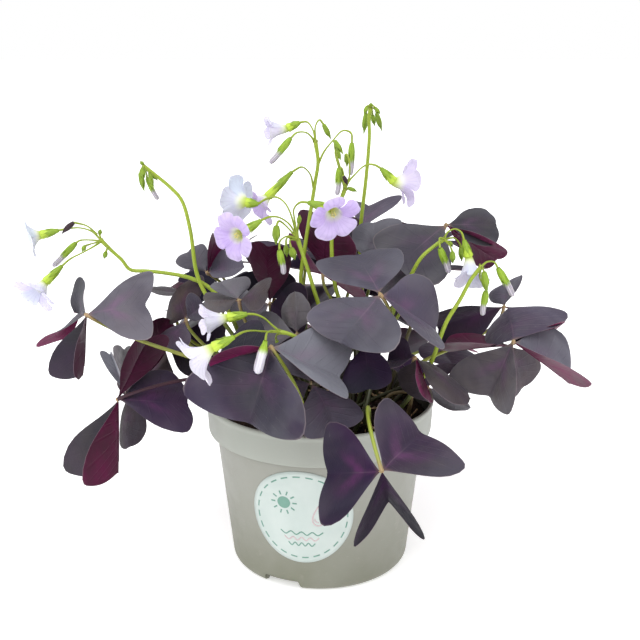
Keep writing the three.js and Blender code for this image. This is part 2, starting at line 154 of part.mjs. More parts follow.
    pedicels: [[[61.9, -7.9, 174.9], [63.7, -8.4, 178.8], [67.1, -8.9, 180.4], [70.1, -9.4, 179.0], [71.7, -9.9, 175.0]], [[61.9, -7.9, 174.9], [59.4, -10.4, 176.1], [59.5, -12.9, 171.6]], [[62.0, -7.9, 174.8], [64.5, -12.1, 172.5], [65.3, -16.4, 170.4]], [[62.1, -7.9, 174.9], [67.2, -5.8, 175.2], [70.1, -3.7, 172.2], [71.4, -1.6, 169.7]], [[62.0, -7.9, 174.8], [64.3, -9.4, 173.9]]],
    buds: [[[59.5, -12.9, 171.6], [64.4, -12.9, 158.9], 1.8, 1, 0], [[65.3, -16.4, 170.4], [65.8, -16.4, 164.3], 1.3, 0, 0], [[71.4, -1.6, 169.7], [72.0, -1.6, 161.9], 1.3, 0, 0], [[64.3, -9.4, 173.9], [66.4, -9.4, 171.4], 0.9, 0, 0]],
    calyces: [[[71.7, -9.9, 175.0], [74.0, -11.0, 166.9]]] },
  { name: 'flower_stalk_8',
    scape: [[33.3, -23.0, 81.1], [40.0, -25.3, 90.6], [46.7, -27.7, 101.4], [52.3, -29.6, 111.7], [55.8, -30.4, 120.0], [58.9, -30.4, 130.3], [62.0, -30.4, 139.0], [68.2, -30.4, 150.2], [72.9, -30.4, 159.9], [77.5, -30.4, 166.1]],
    pedicels: [[[77.5, -30.4, 166.1], [80.4, -29.5, 168.4], [83.9, -28.7, 168.2], [86.1, -27.9, 165.0]], [[77.5, -30.4, 166.1], [78.4, -32.6, 165.2], [78.3, -34.8, 164.7]], [[77.5, -30.4, 166.1], [77.4, -29.2, 160.4], [80.7, -28.0, 155.1], [81.0, -26.9, 153.3]]],
    buds: [[[86.1, -27.9, 165.0], [94.1, -27.9, 151.0], 1.8, 1, 0], [[78.3, -34.8, 164.7], [80.5, -34.8, 153.9], 1.7, 0, 0], [[81.0, -26.9, 153.3], [79.8, -26.9, 141.1], 1.7, 1, 0]],
    calyces: [] },
  { name: 'flower_stalk_9',
    scape: [[12.1, -21.4, 80.7], [12.3, -25.2, 89.5], [10.3, -31.8, 100.9], [6.4, -39.6, 113.2], [1.0, -47.1, 124.9], [-5.6, -52.7, 134.2], [-13.1, -54.9, 139.4], [-15.8, -54.9, 140.4], [-18.6, -54.9, 140.9]],
    pedicels: [[[-18.6, -54.9, 140.9], [-22.3, -55.9, 144.6], [-25.9, -57.0, 148.3], [-29.9, -58.0, 150.3], [-33.5, -59.1, 150.8]], [[-18.6, -54.9, 140.9], [-24.8, -62.2, 143.3], [-30.7, -69.5, 146.0], [-34.2, -76.7, 147.5], [-37.6, -84.0, 147.5]], [[-18.8, -54.9, 140.9], [-22.8, -60.6, 143.1], [-24.3, -66.3, 143.4], [-24.5, -72.0, 141.9]], [[-18.7, -54.9, 140.8], [-20.6, -52.9, 138.3], [-20.5, -50.9, 135.2]]],
    buds: [[[-24.5, -72.0, 141.9], [-28.4, -72.0, 126.7], 2.1, 2, 0], [[-20.5, -50.9, 135.2], [-20.0, -50.9, 134.3], 0.8, 0, 0]],
    calyces: [[[-33.5, -59.1, 150.8], [-42.3, -59.8, 149.2]], [[-37.6, -84.0, 147.5], [-46.7, -84.2, 142.9]]] },
];

// ---- open flowers: name, cup end, axis, face radius, tube length, opening angle, white, turn
const FLOWERS = [
  ['flower_01', [-143.9, 10.1, 173.5], [-0.92, -0.35, -0.15], 12, 3, 72, 1, 5],
  ['flower_02', [-140.3, -1.1, 151.5], [-0.46, -0.64, -0.61], 12, 4, 58, 0, 40],
  ['flower_03', [-16.5, 16.8, 227.3], [-0.94, -0.34, -0.08], 7.5, 5, 42, 0, 18],
  ['flower_04', [-26.7, 11.0, 193.4], [-0.67, -0.47, -0.57], 12, 3, 60, 0, 50],
  ['flower_05', [-36.3, -41.2, 185.1], [-0.59, -0.79, -0.15], 12, 3.5, 70, 0, 18],
  ['flower_06', [-35.4, -19.5, 195.5], [-0.77, 0.64, 0.07], 12.5, 2.5, 66, 1, 30],
  ['flower_07', [4.7, -40.3, 196.3], [0.31, -0.85, -0.43], 12.5, 4.5, 70, 0, 18],
  ['flower_08', [36.7, 0.7, 202.7], [0.95, 0.27, -0.15], 12.5, 3, 62, 0, 62],
  ['flower_09', [74.0, -11.0, 166.9], [0.07, -0.54, -0.84], 9.5, 5, 42, 1, 18],
  ['flower_10', [-42.3, -59.8, 149.2], [-0.94, -0.34, -0.08], 9, 5, 45, 1, 33],
  ['flower_11', [-46.7, -84.2, 142.9], [-0.81, -0.1, -0.58], 13, 5, 62, 1, 10],
];

const wasm = await Module();
wasm.setup();
const V = (a) => new THREE.Vector3(a[0], a[1], a[2]);

// ---- helpers ---------------------------------------------------------------
function solid(geo) {
  const g = geo.clone();
  g.deleteAttribute('normal');
  if (g.attributes.uv) g.deleteAttribute('uv');
  const m = mergeVertices(g, 1e-4);
  const pos = m.attributes.position.array;
  const tri = [];
  for (let i = 0; i < m.index.count; i += 3) {
    const a = m.index.getX(i), b = m.index.getX(i + 1), c = m.index.getX(i + 2);
    if (a !== b && b !== c && a !== c) tri.push(a, b, c);
  }
  let v = 0;
  for (let i = 0; i < tri.length; i += 3) {
    const [a, b, c] = [tri[i] * 3, tri[i + 1] * 3, tri[i + 2] * 3];
    v += pos[a] * (pos[b + 1] * pos[c + 2] - pos[b + 2] * pos[c + 1])
       - pos[a + 1] * (pos[b] * pos[c + 2] - pos[b + 2] * pos[c])
       + pos[a + 2] * (pos[b] * pos[c + 1] - pos[b + 1] * pos[c]);
  }
  if (v < 0) for (let i = 0; i < tri.length; i += 3) [tri[i], tri[i + 1]] = [tri[i + 1], tri[i]];
  return new wasm.Manifold(new wasm.Mesh({ numProp: 3,
    vertProperties: new Float32Array(pos), triVerts: new Uint32Array(tri) }));
}
function join(list) {
  let m = list[0];
  for (let i = 1; i < list.length; i++) m = m.add(list[i]);
  return m.simplify(JOIN_TOL);
}
function toGeometry(m) {
  const mesh = m.getMesh();
  const g = new THREE.BufferGeometry();
  g.setAttribute('position', new THREE.BufferAttribute(new Float32Array(mesh.vertProperties), 3));
  g.setIndex(Array.from(mesh.triVerts));
  const out = g.toNonIndexed();
  out.computeVertexNormals();
  return out;
}
function disc(r, n, turn = 0) {
  const s = new THREE.Shape();
  for (let i = 0; i < n; i++) {
    const a = turn + i * 2 * Math.PI / n;
    if (i === 0) s.moveTo(r * Math.cos(a), r * Math.sin(a));
    else s.lineTo(r * Math.cos(a), r * Math.sin(a));
  }
  s.closePath();
  return s;
}
function rod(curve, r, sides, steps) {
  return solid(new THREE.ExtrudeGeometry(disc(r, sides), { steps, extrudePath: curve, bevelEnabled: false }));
}
function ball(p, r, w = 6, h = 4) {
  const g = new THREE.SphereGeometry(r, w, h);
  g.translate(p.x, p.y, p.z);
  return solid(g);
}
// a flat plate with the given outline, centred on the plane through o spanned by u and v
function plate(points, o, u, v, n, t) {
  const s = new THREE.Shape(points.map((p) => new THREE.Vector2(p[0], p[1])));
  const g = new THREE.ExtrudeGeometry(s, { depth: t, bevelEnabled: false, steps: 1 });
  g.translate(0, 0, -t / 2);
  g.applyMatrix4(new THREE.Matrix4().makeBasis(u, v, n).setPosition(o));
  return solid(g);
}
// a body of revolution from a to b with the given [fraction along, radius] profile
function turned(a, b, profile, sides) {
  const d = b.clone().sub(a), L = d.length();
  const g = new THREE.LatheGeometry(profile.map((p) => new THREE.Vector2(p[1], p[0] * L)), sides);
  g.applyQuaternion(new THREE.Quaternion().setFromUnitVectors(new THREE.Vector3(0, 1, 0), d.normalize()));
  g.translate(a.x, a.y, a.z);
  return solid(g);
}
// a leaflet: a thin plate, folded along its midrib, that widens into two lobes
function leaflet(h, N, A, B) {
  const g = new THREE.BoxGeometry(2, ROWS.length + 1, 1, 2, ROWS.length + 1, 1);
  const p = g.attributes.position;
  const mid = N.clone().sub(h), L = mid.length(), m = mid.clone().normalize();
  const a = A.clone().sub(h), b = B.clone().sub(h);
  const na = mid.clone().cross(a).normalize(), nb = b.clone().cross(mid).normalize();
  const sa = na.clone().cross(m), sb = m.clone().cross(nb);
  const nm = na.clone().add(nb);
  nm.multiplyScalar(2 / Math.max(nm.lengthSq(), 0.9));
  const at = (row, col) => {
    const o = h.clone();
    if (row === 0) return o.addScaledVector(m, 0.5).addScaledVector(col > 0 ? sa : sb, col === 0 ? 0 : 0.75);
    if (row > ROWS.length) return o.addScaledVector(m, L - (col === 0 ? 0 : 0.25)).addScaledVector(col > 0 ? sa : sb, col === 0 ? 0 : 0.5);
    const [s, es, et] = ROWS[row - 1];
    if (col === 0) return o.addScaledVector(mid, s);
    return o.addScaledVector(mid, es).addScaledVector(col > 0 ? a : b, et);
  };
  for (let i = 0; i < p.count; i++) {
    const col = Math.round(p.getX(i)), row = Math.round(p.getY(i) + (ROWS.length + 1) / 2);
    const q = at(row, col);
    q.addScaledVector(col === 0 ? nm : col > 0 ? na : nb, p.getZ(i) > 0 ? LEAF_T / 2 : -LEAF_T / 2);
    p.setXYZ(i, q.x, q.y, q.z);
  }
  return solid(g);
}
function leafBody(stem, leaflets) {
  const P = stem.map(V), h = P[3];
  const parts = [rod(new THREE.CubicBezierCurve3(...P), PETIOLE_R, 4, 7), ball(h, 1.35, 5, 3)];
  for (const [N, A, B] of leaflets) parts.push(leaflet(h, V(N), V(A), V(B)));
  return join(parts);
}
const curveOf = (pts) => (pts.length === 2
  ? new THREE.LineCurve3(V(pts[0]), V(pts[1]))
  : new THREE.CatmullRomCurve3(pts.map(V)));
const BUD = [[-0.06, 0], [0, 0.7], [0.5, 1], [1, 0]];
const CUP = [[-0.1, 0], [0, 0.95], [0.55, 1.9], [0.88, 2.4], [1, 1.1], [1, 0]];
function stalkBody(s) {
  const top = V(s.scape[s.scape.length - 1]);
  const parts = [rod(curveOf(s.scape), SCAPE_R, 5, 10), ball(top, 1.45, 5, 3)];
  for (const p of s.pedicels) {
    let len = 0;
    for (let i = 1; i < p.length; i++) len += V(p[i]).distanceTo(V(p[i - 1]));
    const steps = p.length === 2 ? 1 : Math.min(5, Math.max(2, Math.round(len / 5)));
    parts.push(rod(curveOf(p), PEDICEL_R, 3, steps));
  }
  for (const [a, b, r] of s.buds) {
    parts.push(turned(V(a), V(b), BUD.map((q) => [q[0], q[1] * r]), 5));
  }
  for (const [a, b] of s.calyces) parts.push(turned(V(a), V(b), CUP, 5));
  return join(parts);
}
function flowerBody(base, axis, R, tube, open, turn) {
  const ax = V(axis).normalize();
  const e1 = ax.clone().cross(new THREE.Vector3(0.3, 0.2, 0.93)).normalize();
  const e2 = ax.clone().cross(e1);
  const start = V(base).addScaledVector(ax, 0.75);
  const throat = start.clone().addScaledVector(ax, tube);
  const parts = [turned(start, throat.clone().addScaledVector(ax, 0.6),
    [[0, 0], [0, 0.4], [1, 2.3], [1, 0]], 5)];
  const w = open * Math.PI / 180;
  const slant = (R - 1) / Math.sin(w);
  for (let i = 0; i < 5; i++) {
    const a = (i * 72 + turn) * Math.PI / 180;
    const out = e1.clone().multiplyScalar(Math.cos(a)).addScaledVector(e2, Math.sin(a));
    const u = out.clone().multiplyScalar(Math.sin(w)).addScaledVector(ax, Math.cos(w));
    const side = e1.clone().multiplyScalar(-Math.sin(a)).addScaledVector(e2, Math.cos(a));
    const n = u.clone().cross(side);
    const o = throat.clone().addScaledVector(out, 0.6);
    const k = slant;
    parts.push(plate([[0, -0.8], [0.8 * k, -0.36 * k], [k, 0], [0.8 * k, 0.36 * k], [0, 0.8]], o, u, side, n, PETAL_T));
  }
  return join(parts);
}
function lathe(points, seg) {
  const g = new THREE.LatheGeometry(points.map((p) => new THREE.Vector2(p[0], p[1])), seg);
  g.rotateX(Math.PI / 2);
  return solid(g);
}

// ---- pot ---------------------------------------------------------------------
const bodyR = (z) => FOOT_R + (SHOULDER_R - FOOT_R) * (z / BAND_Z);
function potBody() {
  const c = FOOT_ROUND;
  const profile = [[0, 0], [RECESS_IN, 0], [RECESS_IN + 0.6, RECESS_H], [RECESS_OUT, RECESS_H], [RECESS_OUT + 0.4, 0],
    [bodyR(0) - c, 0], [bodyR(0) - 0.45 * c, 0.12 * c], [bodyR(0.45 * c) - 0.08 * c, 0.5 * c], [bodyR(c), c],
    [SHOULDER_R, BAND_Z - 0.2], [BAND_R - 0.5, BAND_Z], [BAND_R, BAND_Z + 0.6], [RIM_R - 0.35, POT_H - 2.2],
    [RIM_R, POT_H - 1.6], [RIM_R - 0.2, POT_H - 0.2], [RIM_R - 1.0, POT_H], [RIM_R - 1.8, POT_H - 0.3],
    [BAND_R - WALL, BAND_Z + 3.2], [SHOULDER_R - WALL, BAND_Z - 1.2],
    [bodyR(6) - WALL, RECESS_H + BASE_T + 2], [bodyR(4) - WALL - 2, RECESS_H + BASE_T], [0, RECESS_H + BASE_T]];
  let m = lathe(profile, SEG);
  for (const at of NOTCH_AT) {
    const s = new THREE.Shape();
    const a0 = (at - NOTCH_ANGLE / 2) * Math.PI / 180, a1 = (at + NOTCH_ANGLE / 2) * Math.PI / 180;
    const r0 = RECESS_OUT - 1.5, r1 = RIM_R;
    s.moveTo(r0 * Math.cos(a0), r0 * Math.sin(a0));
    s.lineTo(r1 * Math.cos(a0), r1 * Math.sin(a0));
    s.lineTo(r1 * Math.cos((a0 + a1) / 2) * 1.1, r1 * Math.sin((a0 + a1) / 2) * 1.1);
    s.lineTo(r1 * Math.cos(a1), r1 * Math.sin(a1));
    s.lineTo(r0 * Math.cos(a1), r0 * Math.sin(a1));
    s.closePath();
    const g = new THREE.ExtrudeGeometry(s, { depth: NOTCH_H + 1, bevelEnabled: false });
    g.translate(0, 0, -1);
    m = m.subtract(solid(g));
  }
  return m;
}
function soilBody() {
  const z0 = RECESS_H + BASE_T + GAP;
  return lathe([[0, z0], [bodyR(4) - WALL - 2 - GAP, z0], [bodyR(7) - WALL - GAP, z0 + 2.4],
    [SHOULDER_R - WALL - GAP - 0.1, BAND_Z - 1.4], [BAND_R - WALL - GAP - 0.5, BAND_Z + 3.0],
    [BAND_R - WALL - GAP - 0.3, SOIL_Z], [0, SOIL_Z]], SEG);
}
function labelBody() {
  const lo = LABEL_Z - LABEL_R - 1, hi = LABEL_Z + LABEL_R + 1;
  const shell = lathe([[bodyR(lo) + GAP, lo], [bodyR(lo) + GAP + LABEL_T, lo],
    [bodyR(hi) + GAP + LABEL_T, hi], [bodyR(hi) + GAP, hi], [bodyR(lo) + GAP, lo]], SEG);
  const g = new THREE.CylinderGeometry(LABEL_R, LABEL_R, 30, 28);
  const at = LABEL_AT * Math.PI / 180;
  const out = new THREE.Vector3(Math.cos(at), Math.sin(at), -(SHOULDER_R - FOOT_R) / BAND_Z).normalize();
  g.applyQuaternion(new THREE.Quaternion().setFromUnitVectors(new THREE.Vector3(0, 1, 0), out));
  g.translate(out.x * 50, out.y * 50, LABEL_Z + out.z * 0);
  return shell.intersect(solid(g));
}

// ---- assembly -------------------------------------------------------------------
const root = new THREE.Group();
root.name = 'purple_shamrock';
function place(name, body, color, roughness, metalness = 0) {
  const mesh = new THREE.Mesh(toGeometry(body),
    new THREE.MeshStandardMaterial({ color, roughness, metalness, name: name + '_mat' }));
  mesh.name = name;
  root.add(mesh);
}
place('pot', potBody(), 0x9d9c90, 0.55);
place('soil', soilBody(), 0x2a1c14, 0.95);
place('label', labelBody(), 0xe9f0ea, 0.4);
for (const [name, stem, leaflets] of LEAVES) place(name, leafBody(stem, leaflets), 0x4a3547, 0.6);
for (const s of STALKS) place(s.name, stalkBody(s), 0x86a83a, 0.6);
for (const [name, base, axis, R, tube, open, white, turn] of FLOWERS) {
  place(name, flowerBody(base, axis, R, tube, open, turn), white ? 0xefeaf6 : 0xc9b2e8, 0.6);
}
export default root;
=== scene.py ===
"""Purple shamrock in its nursery pot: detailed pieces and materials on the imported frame."""
import math
import bpy
import numpy as np
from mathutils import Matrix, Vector


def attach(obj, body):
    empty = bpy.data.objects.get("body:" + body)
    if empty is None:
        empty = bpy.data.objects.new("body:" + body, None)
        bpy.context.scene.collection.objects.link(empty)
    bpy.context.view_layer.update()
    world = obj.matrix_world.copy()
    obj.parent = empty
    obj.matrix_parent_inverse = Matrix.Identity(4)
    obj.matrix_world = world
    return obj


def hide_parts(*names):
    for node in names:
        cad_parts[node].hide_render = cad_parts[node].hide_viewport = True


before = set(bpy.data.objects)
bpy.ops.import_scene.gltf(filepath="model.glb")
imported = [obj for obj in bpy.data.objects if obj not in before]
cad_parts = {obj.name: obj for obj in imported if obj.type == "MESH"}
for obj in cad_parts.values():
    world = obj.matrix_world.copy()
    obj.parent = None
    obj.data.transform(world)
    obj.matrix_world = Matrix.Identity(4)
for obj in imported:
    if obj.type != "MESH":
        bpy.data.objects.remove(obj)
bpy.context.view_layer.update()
MM = 0.001

# ------------------------------------------------------------------ shared control points (mm)
# leaves: name, stem curve (four control points), three leaflets (midrib end, two lobe tips)
LEAVES = [
    ('leaf_01', [[-28.1, -17.1, 80.6], [-25.6, -27.9, 120.0], [-73.1, -46.4, 121.5], [-112.4, -38.0, 144.5]],
     [[[-83.4, -37.8, 149.4], [-85.3, -13.2, 159.7], [-80.0, -58.8, 139.2]], [[-120.0, -19.4, 139.7], [-141.2, -21.8, 123.0], [-122.0, -8.2, 155.7]], [[-114.5, -43.4, 115.2], [-112.1, -70.0, 126.9], [-132.4, -36.3, 115.3]]]),
    ('leaf_02', [[-42.3, 0.9, 80.8], [-32.9, -12.8, 119.1], [-91.3, -48.2, 108.5], [-97.4, -48.6, 105.1]],
     [[[-64.5, -38.3, 98.3], [-76.9, -19.6, 109.5], [-65.8, -50.3, 89.5]], [[-96.9, -58.6, 70.9], [-107.7, -85.2, 79.8], [-126.9, -41.7, 66.7]], [[-85.3, -19.5, 127.5], [-76.1, -21.4, 124.9], [-94.8, -15.2, 121.9]]]),
    ('leaf_03', [[-5.8, -43.1, 80.9], [-7.8, -53.3, 99.6], [-4.8, -74.5, 114.3], [-22.4, -65.5, 137.2]],
     [[[-32.4, -75.7, 103.3], [-8.7, -98.8, 107.9], [-62.1, -71.5, 118.3]], [[9.3, -63.0, 121.1], [13.4, -43.4, 138.4], [10.1, -91.1, 123.1]], [[-49.9, -63.7, 125.2], [-45.1, -81.5, 139.8], [-36.5, -39.3, 139.6]]]),
    ('leaf_04', [[14.6, -19.8, 80.7], [2.0, -7.9, 128.9], [51.6, -46.6, 124.8], [28.3, -44.7, 156.4]],
     [[[18.5, -22.5, 170.5], [-1.4, -35.3, 169.2], [39.6, -14.2, 170.9]], [[9.2, -62.7, 137.5], [32.4, -78.8, 140.3], [-5.7, -46.7, 147.3]], [[56.1, -38.3, 136.3], [54.5, -22.8, 157.3], [54.2, -67.2, 137.0]]]),
    ('leaf_05', [[37.6, 4.3, 81.0], [51.5, 9.3, 101.7], [89.1, -3.3, 93.1], [96.9, -21.1, 125.7]],
     [[[86.3, -18.7, 95.2], [91.3, -50.7, 99.9], [66.8, -8.9, 102.5]], [[127.0, -17.8, 101.9], [126.8, 3.5, 121.5], [128.6, -49.0, 114.8]], [[100.8, 17.2, 132.9], [88.2, 17.4, 116.6], [129.2, 7.9, 132.7]]]),
    ('leaf_06', [[24.0, -31.9, 80.9], [26.0, -46.9, 106.5], [16.0, -87.1, 123.2], [26.8, -105.2, 93.1]],
     [[[3.1, -91.1, 85.5], [1.7, -112.5, 71.3], [4.5, -85.4, 107.7]], [[46.2, -76.0, 99.5], [29.8, -77.1, 116.2], [62.5, -103.3, 94.4]], [[27.6, -138.7, 95.0], [42.7, -134.8, 76.9], [14.7, -133.0, 72.3]]]),
    ('leaf_07', [[34.3, 12.2, 80.8], [44.9, 15.0, 106.1], [59.9, 18.8, 163.3], [65.8, 17.7, 177.4]],
     [[[39.4, 7.6, 157.6], [58.5, -13.5, 153.9], [29.5, 30.4, 168.7]], [[92.4, 17.4, 177.2], [87.3, 37.5, 182.8], [86.4, -2.8, 170.9]], [[92.4, 12.5, 159.6], [86.3, 36.3, 150.8], [90.6, -10.8, 170.7]]]),
    ('leaf_08', [[12.0, -30.8, 80.6], [18.1, -36.1, 123.5], [12.2, -42.1, 108.0], [-4.1, -49.5, 113.8]],
     [[[7.6, -57.5, 92.9], [20.8, -48.0, 97.3], [-6.4, -76.3, 98.1]], [[-20.7, -58.1, 111.8], [-14.8, -67.8, 106.6], [-26.1, -42.6, 115.4]], [[-11.2, -35.1, 124.7], [-23.6, -43.5, 123.3], [1.0, -34.0, 125.3]]]),
    ('leaf_09', [[-25.1, 26.4, 80.6], [-21.3, 23.2, 98.9], [-41.2, -11.0, 129.8], [-40.4, -15.2, 145.3]],
     [[[-50.7, -6.7, 152.7], [-54.1, -18.1, 152.5], [-37.3, -1.2, 153.9]], [[-57.7, -18.4, 145.9], [-51.5, -31.5, 144.4], [-56.7, -4.1, 146.2]], [[-25.6, -22.6, 152.1], [-25.9, -5.6, 154.8], [-29.1, -32.8, 145.8]]]),
    ('leaf_10', [[-35.1, 2.8, 80.8], [-44.4, 5.8, 105.6], [-68.9, 0.7, 119.6], [-69.7, 1.5, 130.2]],
     [[[-82.6, -3.1, 116.4], [-68.8, -16.6, 120.7], [-85.7, 8.3, 118.3]], [[-60.4, 0.6, 139.6], [-67.8, 7.4, 142.9], [-59.5, -9.4, 135.0]], [[-75.6, 15.1, 143.9], [-83.2, 19.3, 127.2], [-61.4, 12.6, 150.5]]]),
    ('leaf_11', [[44.2, -13.5, 80.8], [49.7, -17.2, 94.0], [43.8, -30.1, 115.4], [46.0, -40.2, 123.5]],
     [[[32.7, -35.8, 120.3], [33.2, -51.5, 121.5], [38.2, -31.2, 130.6]], [[54.4, -48.5, 103.2], [47.2, -61.1, 113.4], [40.2, -31.3, 105.7]], [[73.3, -44.2, 103.6], [66.0, -26.9, 108.3], [60.9, -61.5, 108.6]]]),
    ('leaf_12', [[-18.7, 22.7, 80.8], [-14.3, 15.9, 95.2], [-40.8, 58.9, 127.7], [-63.2, 48.9, 143.8]],
     [[[-74.5, 53.3, 154.8], [-78.6, 40.9, 151.9], [-65.9, 62.4, 157.1]], [[-58.8, 55.1, 162.4], [-56.9, 69.7, 156.4], [-60.5, 40.0, 167.2]], [[-41.5, 43.7, 148.4], [-52.8, 67.9, 153.9], [-51.0, 30.9, 145.9]]]),
    ('leaf_13', [[-10.8, -17.4, 80.9], [-2.9, -26.2, 97.4], [-9.3, -24.6, 124.8], [-11.3, -29.7, 132.2]],
     [[[-12.3, -23.5, 152.4], [-19.7, -12.0, 139.9], [-5.2, -40.3, 149.4]], [[-29.6, -23.9, 124.7], [-31.9, -40.2, 126.2], [-29.0, -15.0, 138.7]], [[-0.5, -45.1, 133.7], [7.0, -35.4, 142.7], [-13.0, -50.9, 127.2]]]),
    ('leaf_14', [[39.7, 13.7, 80.5], [36.7, 12.6, 111.3], [105.2, 67.2, 92.2], [103.9, 49.2, 124.2]],
     [[[107.3, 65.1, 133.9], [98.4, 68.6, 126.4], [113.5, 48.2, 141.9]], [[66.1, 45.7, 112.6], [74.3, 23.7, 107.2], [71.3, 78.3, 112.1]], [[131.1, 48.9, 117.7], [125.7, 70.1, 112.5], [128.8, 28.5, 127.0]]]),
    ('leaf_15', [[13.8, -5.2, 81.3], [36.5, 1.1, 92.9], [97.5, 17.5, 107.5], [100.1, 2.1, 116.4]],
     [[[67.8, 6.8, 111.0], [63.1, -17.5, 123.4], [74.8, 33.7, 112.7]], [[108.5, 6.1, 91.0], [119.5, 18.1, 99.3], [94.8, -11.5, 91.9]], [[125.9, 10.4, 122.9], [115.3, 23.8, 128.0], [123.4, -8.0, 131.7]]]),
    ('leaf_16', [[-23.5, 13.7, 80.5], [-19.8, 12.4, 108.8], [-65.8, 19.2, 100.1], [-76.3, 29.3, 116.9]],
     [[[-96.5, 10.1, 109.9], [-87.8, 0.7, 129.4], [-98.8, 25.9, 92.6]], [[-53.2, 24.6, 134.7], [-54.9, 48.3, 135.9], [-60.4, 2.3, 130.7]], [[-82.2, 59.5, 110.0], [-99.1, 40.6, 105.2], [-68.1, 64.6, 126.5]]]),
    ('leaf_17', [[34.1, -4.7, 80.6], [31.9, -0.3, 98.6], [51.8, -10.5, 90.4], [55.6, -12.7, 98.1]],
     [[[77.3, -19.9, 89.5], [72.5, -5.0, 92.0], [64.2, -36.0, 94.7]], [[55.2, 12.1, 99.8], [41.2, 6.1, 108.3], [71.8, 7.7, 104.8]], [[38.6, -2.5, 107.8], [37.2, -18.3, 111.0], [49.9, 8.7, 109.0]]]),
    ('leaf_18', [[-1.7, 17.9, 81.0], [-13.4, 28.5, 100.8], [-27.0, 26.7, 107.0], [-26.8, 20.1, 134.3]],
     [[[-27.9, 29.6, 163.4], [-16.7, 49.8, 153.3], [-36.6, 7.1, 167.2]], [[-45.1, 29.5, 116.4], [-41.1, 9.6, 108.1], [-51.1, 40.2, 134.6]], [[-8.1, -3.4, 124.6], [-7.4, -6.9, 149.8], [-24.3, -1.9, 105.0]]]),
    ('leaf_19', [[10.4, 10.9, 80.9], [34.8, 16.6, 121.8], [-0.8, 11.4, 134.4], [1.6, 20.0, 150.3]],
     [[[5.2, 11.6, 179.4], [18.2, -4.3, 169.2], [-11.2, 30.3, 181.2]], [[23.7, 9.9, 136.1], [24.4, 31.8, 130.0], [19.5, -7.3, 150.2]], [[-8.3, 46.9, 146.0], [-16.9, 42.4, 167.3], [14.5, 50.1, 142.4]]]),
    ('leaf_20', [[31.6, 24.7, 80.8], [15.9, 27.3, 113.8], [26.4, 59.0, 125.3], [30.6, 36.1, 150.8]],
     [[[29.2, 37.9, 174.8], [16.9, 22.8, 171.9], [45.2, 47.9, 172.3]], [[13.6, 24.5, 151.3], [25.2, 12.9, 149.0], [9.6, 36.3, 162.2]], [[49.6, 22.0, 141.9], [59.9, 36.5, 151.9], [33.9, 9.3, 139.3]]]),
    ('leaf_21', [[2.3, 26.6, 81.0], [2.3, 43.2, 99.0], [26.3, 75.8, 147.3], [23.9, 66.2, 165.3]],
     [[[28.7, 87.7, 175.0], [19.5, 93.1, 176.1], [46.6, 77.2, 182.4]], [[6.3, 56.4, 173.1], [18.5, 44.6, 176.8], [2.0, 73.1, 175.1]], [[31.7, 48.7, 159.6], [47.9, 54.3, 159.9], [13.5, 43.0, 164.2]]]),
    ('leaf_22', [[-18.4, 10.3, 81.0], [-41.8, 2.7, 108.1], [-89.0, 11.3, 106.0], [-75.2, 31.1, 136.9]],
     [[[-91.8, 29.7, 139.5], [-86.1, 16.8, 138.5], [-88.3, 43.3, 138.8]], [[-61.0, 24.1, 135.7], [-58.3, 33.7, 143.7], [-68.7, 14.0, 135.4]], [[-72.8, 46.9, 134.4], [-85.8, 46.3, 134.2], [-61.7, 43.6, 140.3]]]),
    ('leaf_23', [[-39.5, -10.8, 80.6], [-47.0, -10.0, 107.6], [-93.5, 0.2, 85.4], [-101.9, -1.5, 89.8]],
     [[[-99.7, -15.2, 65.5], [-88.1, -27.5, 82.3], [-108.9, 5.4, 61.4]], [[-103.7, 6.5, 112.8], [-112.0, 23.5, 106.7], [-95.2, -14.1, 117.8]], [[-112.4, 11.8, 108.3], [-117.4, 11.2, 107.9], [-104.0, -16.3, 115.9]]]),
    ('leaf_24', [[-31.7, 24.2, 80.6], [-35.9, 29.2, 105.4], [-23.1, 79.9, 132.7], [-21.8, 82.7, 139.9]],
     [[[-33.6, 63.9, 125.4], [-15.7, 53.8, 131.4], [-50.5, 75.8, 131.2]], [[5.2, 87.9, 134.0], [-0.8, 107.4, 143.7], [5.9, 65.6, 138.1]], [[-35.1, 106.9, 134.9], [-52.5, 93.5, 140.2], [-17.3, 114.2, 146.8]]]),
    ('leaf_25', [[23.5, 7.8, 80.7], [35.5, 7.9, 114.2], [61.8, 64.0, 86.8], [68.2, 72.4, 99.0]],
     [[[76.6, 50.1, 88.8], [94.1, 61.6, 88.1], [58.3, 44.0, 96.8]], [[77.3, 96.2, 87.6], [58.8, 103.4, 98.0], [95.9, 83.6, 86.5]], [[43.0, 71.5, 91.3], [47.0, 51.0, 94.6], [44.4, 91.6, 97.8]]]),
    ('leaf_26', [[-21.9, -0.4, 81.1], [-32.2, 7.9, 94.1], [-81.9, 35.0, 100.0], [-86.3, 38.3, 103.9]],
     [[[-101.2, 24.5, 77.6], [-81.6, 6.9, 82.0], [-116.6, 46.0, 81.3]], [[-55.7, 32.3, 103.9], [-56.5, 53.1, 117.9], [-64.9, 10.2, 96.2]], [[-88.6, 68.0, 101.4], [-110.2, 61.1, 93.4], [-69.0, 66.0, 115.3]]]),
    ('leaf_27', [[9.2, 18.3, 80.6], [6.6, 9.8, 116.7], [-7.7, 87.9, 102.7], [9.4, 91.6, 126.7]],
     [[[-8.2, 74.3, 114.0], [4.0, 59.9, 126.0], [-22.1, 90.7, 120.1]], [[36.0, 86.7, 120.9], [37.4, 106.6, 130.7], [29.0, 66.2, 126.3]], [[8.4, 116.0, 117.6], [-12.1, 111.9, 120.1], [24.7, 117.4, 130.8]]]),
    ('leaf_28', [[-8.6, 22.9, 81.2], [-15.0, 46.6, 96.6], [-51.6, 92.0, 115.0], [-64.3, 99.1, 137.7]],
